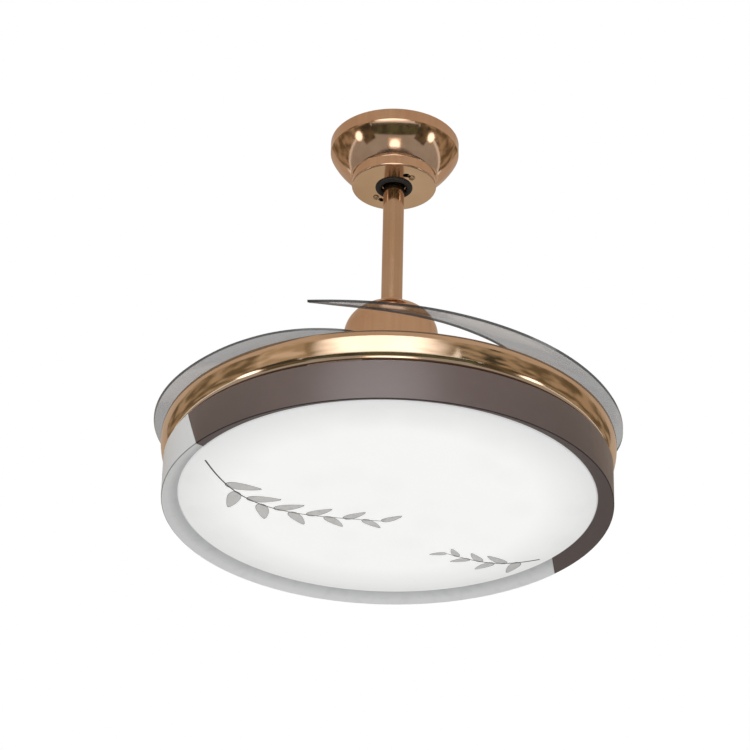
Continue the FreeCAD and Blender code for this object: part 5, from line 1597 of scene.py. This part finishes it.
    def build(self) -> None:
        """Makes both halves."""
        paints = (TAUPE, TAUPE_LIT_LIP, TAUPE_EDGE_SHADE)
        dark = self.half("trim_dark", self.first_seam, self.second_seam, paints)
        settle(dark, Body.SHADE.value, "trim_ring_dark")
        paints = (WHITE, WHITE_LIP_LIGHT_AND_SHADE, WHITE_EDGE_SHADE)
        light = self.half("trim_light", self.second_seam, self.first_seam + 360, paints)
        settle(light, Body.SHADE.value, "trim_ring_light")


@dataclass
class Diffuser:
    """The opal dish and the sprigs printed on it. Sizes in millimetres."""

    mouth: float = 209.0
    base: float = -434.7
    rise: float = 7.6
    lip: float = 16.0
    ring_sheet: float = 1.6
    sheet: float = 2.0
    drop: float = 2.6
    edge: float = 2.0
    rim: float = 9.0
    crown: float = 1.0
    fit: float = 0.05
    clear: float = 0.3
    outer_rings: int = 12
    inner_rings: int = 8
    facets: int = 180

    @property
    def face(self) -> float:
        """The height of the dish's outer edge."""
        return self.rest - self.drop

    @property
    def rest(self) -> float:
        """The height of the rim's underside."""
        slope = math.atan2(self.rise, self.lip)
        return self.base + self.rise + self.ring_sheet / math.cos(slope) + self.fit

    def height(self, radius: float) -> float:
        """The dish's underside at a radius."""
        reach = self.mouth - self.clear - self.edge
        return self.face - self.crown * (1 - (radius / reach) ** 2)

    def dish(self) -> bpy.types.Object:
        """The crowned dish with its rounded edge and rim.

        Returns:
            The dish.
        """
        edge = self.mouth - self.clear
        flat = edge - self.edge
        radii = [flat * ring / self.outer_rings for ring in range(self.outer_rings + 1)]
        line = Outline([(radius, self.height(radius)) for radius in radii])
        line.round((edge, self.face + self.edge), (flat, self.face + self.edge), 6)
        rim = self.mouth + self.rim
        line.to((edge, self.rest), (rim, self.rest), (rim, self.rest + self.sheet))
        inner = edge - self.sheet
        line.to((inner, self.rest + self.sheet))
        radii = [inner * ring / self.inner_rings for ring in range(self.inner_rings, -1, -1)]
        line.to(*((radius, self.height(radius) + self.sheet) for radius in radii))
        return Bench.smooth(Bench.spun("opal_dish", line, self.facets), OPAL)

    def build(self) -> None:
        """Makes the dish and its printed sprigs."""
        settle(self.dish(), Body.SHADE.value, "diffuser")
        long = Sprig(self, root=(-178.0, -82.0), tip=(-6.0, 40.0), bow=52.0, leaves=11, leaf=40.0)
        short = Sprig(self, root=(158.0, 122.0), tip=(62.0, 112.0), bow=-18.0, leaves=7, leaf=30.0)
        for name, sprig in (("sprig_long", long), ("sprig_short", short)):
            settle(sprig.build(name), Body.SHADE.value)


@dataclass
class Sprig:
    """A printed sprig: one bowed stem with narrow leaves on both sides.

    Sizes down to the film's in millimetres and the leaves' angles in degrees, the rest as shares.
    """

    dish: Diffuser
    root: Point
    tip: Point
    bow: float
    leaves: int
    leaf: float
    stem: float = 0.8
    film: float = 0.06
    leaf_turn: float = 40.0
    leaf_close: float = 12.0
    first_leaf: float = 0.2
    leaf_shrink: float = 0.4
    leaf_width: float = 0.44
    leaf_taper: Point = (1.15, 0.6)
    leaf_curl: float = 0.16
    leaf_line: float = 0.022
    stem_taper: Point = (1.1, 0.6)
    stem_ease: float = 0.3
    probe: float = 0.01
    columns: int = 60
    leaf_sides: int = 40

    def spot(self, share: float) -> Vector:
        """A point along the stem.

        Args:
            share: How far along it.

        Returns:
            The point, in millimetres.
        """
        start, end = Vector(self.root), Vector(self.tip)
        run = end - start
        side = Vector((-run.y, run.x)).normalized()
        ease = 1 - self.stem_ease * share
        return start + run * share + side * self.bow * math.sin(math.pi * share) * ease

    def heading(self, share: float) -> Vector:
        """The way that the stem runs at a place along it."""
        return (self.spot(share + self.probe) - self.spot(share - self.probe)).normalized()

    def stalk(self) -> bpy.types.Object:
        """The stem as a flat tapering film.

        Returns:
            The stem.
        """
        Bench.clear()
        bpy.ops.mesh.primitive_grid_add(x_subdivisions=self.columns, y_subdivisions=1, size=2)
        piece = bpy.context.object
        thick, thin = self.stem_taper
        for vertex in piece.data.vertices:
            share = (vertex.co.x + 1) / 2
            ahead = self.heading(share)
            reach = vertex.co.y * self.stem * (thick - thin * share)
            spot = self.spot(share) + Vector((-ahead.y, ahead.x)) * reach
            vertex.co = (spot.x, spot.y, 0.0)
        return piece

    def blade(self) -> bpy.types.Object:
        """One curved leaf of length 1 along X, outlined in ink.

        Returns:
            The leaf.
        """
        Bench.clear()
        bpy.ops.mesh.primitive_circle_add(
            vertices=self.leaf_sides, radius=0.5, fill_type="NGON", location=(0.5, 0, 0)
        )
        piece = bpy.context.object
        Bench.fix(piece)
        Bench.edit(piece)
        bpy.ops.mesh.inset(thickness=self.leaf_line, depth=0.0)
        bpy.ops.object.mode_set(mode="OBJECT")
        for face in piece.data.polygons:
            face.material_index = 0 if len(face.vertices) == 4 else 1
        wide, narrow = self.leaf_taper
        for vertex in piece.data.vertices:
            x, y, _ = vertex.co
            vertex.co = (x, y * self.leaf_width * (wide - narrow * x) + self.leaf_curl * x * x, 0.0)
        return piece

    def build(self, name: str) -> bpy.types.Object:
        """Lays the whole sprig on the dish.

        Args:
            name: The piece's name.

        Returns:
            The sprig.
        """
        places = []
        for index in range(self.leaves):
            share = self.first_leaf + (1 - self.first_leaf) * index / (self.leaves - 1)
            side = 1 if index % 2 else -1
            ahead = self.heading(share)
            spread = math.radians(self.leaf_turn - self.leaf_close * share)
            turn = math.atan2(ahead.y, ahead.x) + side * spread
            length = self.leaf * (1 - self.leaf_shrink * share)
            size = Matrix.Diagonal((length, length * side, 1.0, 1.0))
            spot = self.spot(share)
            places.append(Matrix.Translation((spot.x, spot.y, 0)) @ Matrix.Rotation(turn, 4, "Z") @ size)
        stalk, blade = (Bench.smooth(piece, INK, PALE_INK) for piece in (self.stalk(), self.blade()))
        sprig = Bench.joined(name, [stalk, *Bench.copies(blade, places)])
        for vertex in sprig.data.vertices:
            x, y, _ = vertex.co
            vertex.co = Vector((x, y, self.dish.height(math.hypot(x, y)) - self.film)) * MM
        Bench.edit(sprig)
        bpy.ops.mesh.normals_make_consistent(inside=False)
        bpy.ops.object.mode_set(mode="OBJECT")
        Bench.modified(sprig, "SOLIDIFY", thickness=self.film * MM, offset=0.0)
        return sprig


class Fade(Enum):
    """How a reflector's colour runs into its second colour."""

    CLOUDS = "clouds"
    SIDES = "sides"
    ROUND = "round"


@dataclass
class Studio:
    """Floor, light, reflectors and camera.

    Sizes in metres and degrees, but the lens and the sensor in millimetres.
    """

    floor: float = -6.5
    floor_size: float = 60.0
    lift: float = 0.5
    dim: float = 0.45
    eye: Place = (-0.001, -2.661, -1.7877)
    yaw: float = -0.31
    pitch: float = 29.49
    roll: float = 1.34
    lens: float = 144.0
    sensor: float = 36.0
    far: float = 60.0
    middle: Place = (0.0, 0.0, -0.37)
    pale: Colour = (0.86, 0.86, 0.85)
    dusty: float = 0.95
    dull: float = 0.9

    def camera(self) -> None:
        """A long lens from below, turned as in the photograph."""
        yaw, pitch, roll = (math.radians(angle) for angle in (self.yaw, self.pitch, self.roll))
        ahead = Vector((math.sin(yaw) * math.cos(pitch), math.cos(yaw) * math.cos(pitch), math.sin(pitch)))
        level = Vector((math.cos(yaw), -math.sin(yaw), 0))
        up = level.cross(ahead)
        right = math.cos(roll) * level + math.sin(roll) * up
        above = math.cos(roll) * up - math.sin(roll) * level
        data = bpy.data.cameras.new("camera")
        data.lens = self.lens
        data.sensor_width = self.sensor
        data.clip_end = self.far
        camera = bpy.data.objects.new("camera", data)
        bpy.context.scene.collection.objects.link(camera)
        turn = Matrix((right, above, -ahead)).transposed().to_4x4()
        camera.matrix_world = Matrix.Translation(self.eye) @ turn
        bpy.context.scene.camera = camera

    def panel(self, name: str, size: Point, place: Place, aim: Place) -> bpy.types.Object:
        """A plain flat panel of the studio.

        Args:
            name: The panel's name.
            size: Its width and height.
            place: Its middle.
            aim: The way that it faces.

        Returns:
            The panel.
        """
        Bench.clear()
        bpy.ops.mesh.primitive_plane_add(size=1.0)
        panel = Bench.named(name)
        turn = Vector(aim).to_track_quat("Z", "Y").to_matrix().to_4x4()
        panel.data.transform(Matrix.Translation(place) @ turn @ Matrix.Diagonal((*size, 1.0, 1.0)))
        panel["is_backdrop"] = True
        return panel

    def ground(self) -> None:
        """The pale floor, low enough for views from below, and lifted to the eye as the world is."""
        panel = self.panel("floor", (self.floor_size, self.floor_size), (0, 0, self.floor), (0, 0, 1))
        graph = Graph(bpy.data.materials.new("floor"))
        dusty = tuple(channel * self.dusty for channel in self.pale)
        shade = graph.blend(graph.noise(1.5, 2), self.pale, dusty)
        glow = graph.blend(graph.seen() * self.lift, (0.0, 0.0, 0.0), self.pale)
        material = graph.surface(
            Base_Color=shade, Roughness=self.dull, Emission_Color=glow, Emission_Strength=1.0
        )
        panel.data.materials.append(material)

    def card(
        self, name: str, colour: Colour, deep: Colour, size: Point, place: Place, glow: float = 1.0,
        fade: Fade = Fade.CLOUDS,
    ) -> None:
        """A reflector that faces the fan and that only polished and glossy surfaces show.

        Args:
            name: The card's name.
            colour: Its colour.
            deep: Its second colour.
            size: Its width and height.
            place: Its middle.
            glow: How bright it is.
            fade: How the first colour runs into the second.
        """
        panel = self.panel(name, size, place, Vector(self.middle) - Vector(place))
        graph = Graph(bpy.data.materials.new(name))
        if fade is Fade.ROUND:
            ends = {0: graph.place(), 1: place}
            away = graph.add("ShaderNodeVectorMath", {"operation": "DISTANCE"}, ends, "Value")
            share = graph.ramp(away / (min(size) / 2), (0.75, 0.0), (0.95, 1.0))
        elif fade is Fade.SIDES:
            aside = ((graph.axis("X") - place[0]) ** 2) ** 0.5 / (size[0] / 2)
            share = graph.ramp(aside + graph.noise(1.1, 4) * 0.5 - 0.25, (0.4, 0.0), (0.95, 1.0))
        else:
            share = graph.ramp(graph.noise(1.1, 4), (0.42, 0.0), (0.58, 1.0))
        material = graph.surface(
            Base_Color=(0.0, 0.0, 0.0, 1.0),
            Specular_IOR_Level=0.0,
            Emission_Color=graph.blend(share, colour, deep),
            Emission_Strength=glow,
        )
        panel.data.materials.append(material)
        panel.visible_camera = panel.visible_diffuse = panel.visible_shadow = False
        panel.visible_transmission = False

    def lamp(self, name: str, power: float, size: Point, place: Place, aim: Place) -> None:
        """A soft flat lamp.

        Args:
            name: The lamp's name.
            power: Its power in watts.
            size: Its width and height.
            place: Where it hangs.
            aim: The point that it lights.
        """
        data = bpy.data.lights.new(name, "AREA")
        data.energy = power
        data.shape = "RECTANGLE"
        data.size, data.size_y = size
        lamp = bpy.data.objects.new(name, data)
        bpy.context.scene.collection.objects.link(lamp)
        way = Vector(aim) - Vector(place)
        lamp.visible_camera = lamp.visible_glossy = lamp.visible_transmission = False
        lamp.matrix_world = Matrix.Translation(place) @ way.to_track_quat("-Z", "Y").to_matrix().to_4x4()

    def sky(self) -> None:
        """A plain pale world: white to the eye, in metal and through clear pieces, softer as light."""
        world = bpy.data.worlds.new("studio")
        bpy.context.scene.world = world
        graph = Graph(world)
        strength = graph.seen() * (1 - self.dim) + self.dim
        white = (1.0, 1.0, 1.0, 1.0)
        graph.end("World", graph.add("ShaderNodeBackground", inputs={"Color": white, "Strength": strength}))

    def build(self) -> None:
        """Sets the studio up."""
        bpy.context.scene.view_settings.view_transform = "Standard"
        self.camera()
        self.sky()
        self.ground()
        self.cards()
        self.lamp("front", 40.0, (1.5, 0.5), (0, -3.6, 1.5), (0, 0, -0.4))
        self.lamp("key", 30.0, (1.2, 1.2), (-1.6, -3.2, -0.6), (0, 0, -0.3))
        self.lamp("fill", 18.0, (1.2, 1.2), (2.2, -2.4, -1.0), (0, 0, -0.35))
        self.lamp("under", 8.0, (2.0, 2.0), (0, 0, -2.6), self.middle)

    def cards(self) -> None:
        """The reflectors that stand round the fan, named for where they stand."""
        tan, sand = (0.50, 0.41, 0.33), (0.46, 0.37, 0.29)
        brown, umber = (0.38, 0.30, 0.21), (0.13, 0.10, 0.06)
        white, dark, olive = (1.0, 0.97, 0.98), (0.045, 0.042, 0.03), (0.10, 0.11, 0.06)
        grey, slate = (0.36, 0.35, 0.34), (0.33, 0.32, 0.31)
        straw, hay, fawn = (0.52, 0.50, 0.42), (0.48, 0.45, 0.37), (0.60, 0.50, 0.40)
        self.card("front_screen", white, umber, (5.0, 2.9), (-0.3, -3.6, 0.22), 1.9, Fade.SIDES)
        self.card("upper_front", tan, sand, (12.0, 3.4), (0, -3.9, 3.7))
        self.card("ceiling_card", tan, sand, (12.0, 12.0), (0, 0.2, 4.6))
        self.card("back_wall", tan, sand, (12.0, 6.0), (0, 4.9, 1.4))
        self.card("low_front", dark, olive, (6.2, 1.3), (0, -3.3, -1.95))
        self.card("floor_screen", white, sand, (0.95, 0.95), (0, -1.7, -2.36), 2.2, Fade.ROUND)
        self.card("under_card", grey, slate, (14.0, 14.0), (0, 0, -3.2))
        self.card("back_floor", straw, hay, (6.0, 2.6), (0, 3.4, -2.2))
        for side, name, front, shade in ((-1, "left", fawn, brown), (1, "right", brown, dark)):
            self.card(f"{name}_upper_wall", tan, sand, (9.0, 3.0), (side * 4.6, 0.0, 3.2))
            self.card(f"{name}_wall", brown, umber, (9.0, 3.6), (side * 4.4, 0.0, 0.0))
            self.card(f"{name}_front", front, shade, (2.6, 3.4), (side * 3.3, -3.0, 0.3))
            self.card(f"{name}_window", white, umber, (1.0, 1.0), (side * 3.4, -1.2, -1.5), 2.2, Fade.ROUND)
            self.card(f"{name}_flag", dark, umber, (1.5, 1.9), (side * 2.9, -2.1, -1.75))


def corners() -> list[list[float]]:
    """The whole object's lowest and highest corners."""
    return [[float(value) for value in corner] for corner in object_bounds()]


def main() -> None:
    """Builds the looks piece by piece."""
    logging.basicConfig(level=logging.INFO, format="%(name)s: %(message)s")
    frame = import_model()
    Studio().build()
    NodeFinishes().dress(frame["nodes"])
    Canopy().build()
    Hanger().build()
    Tray().build()
    FoldingBlade().build()
    TrimRing().build()
    Diffuser().build()
    Bench.clear()


if __name__ == "__main__":
    main()
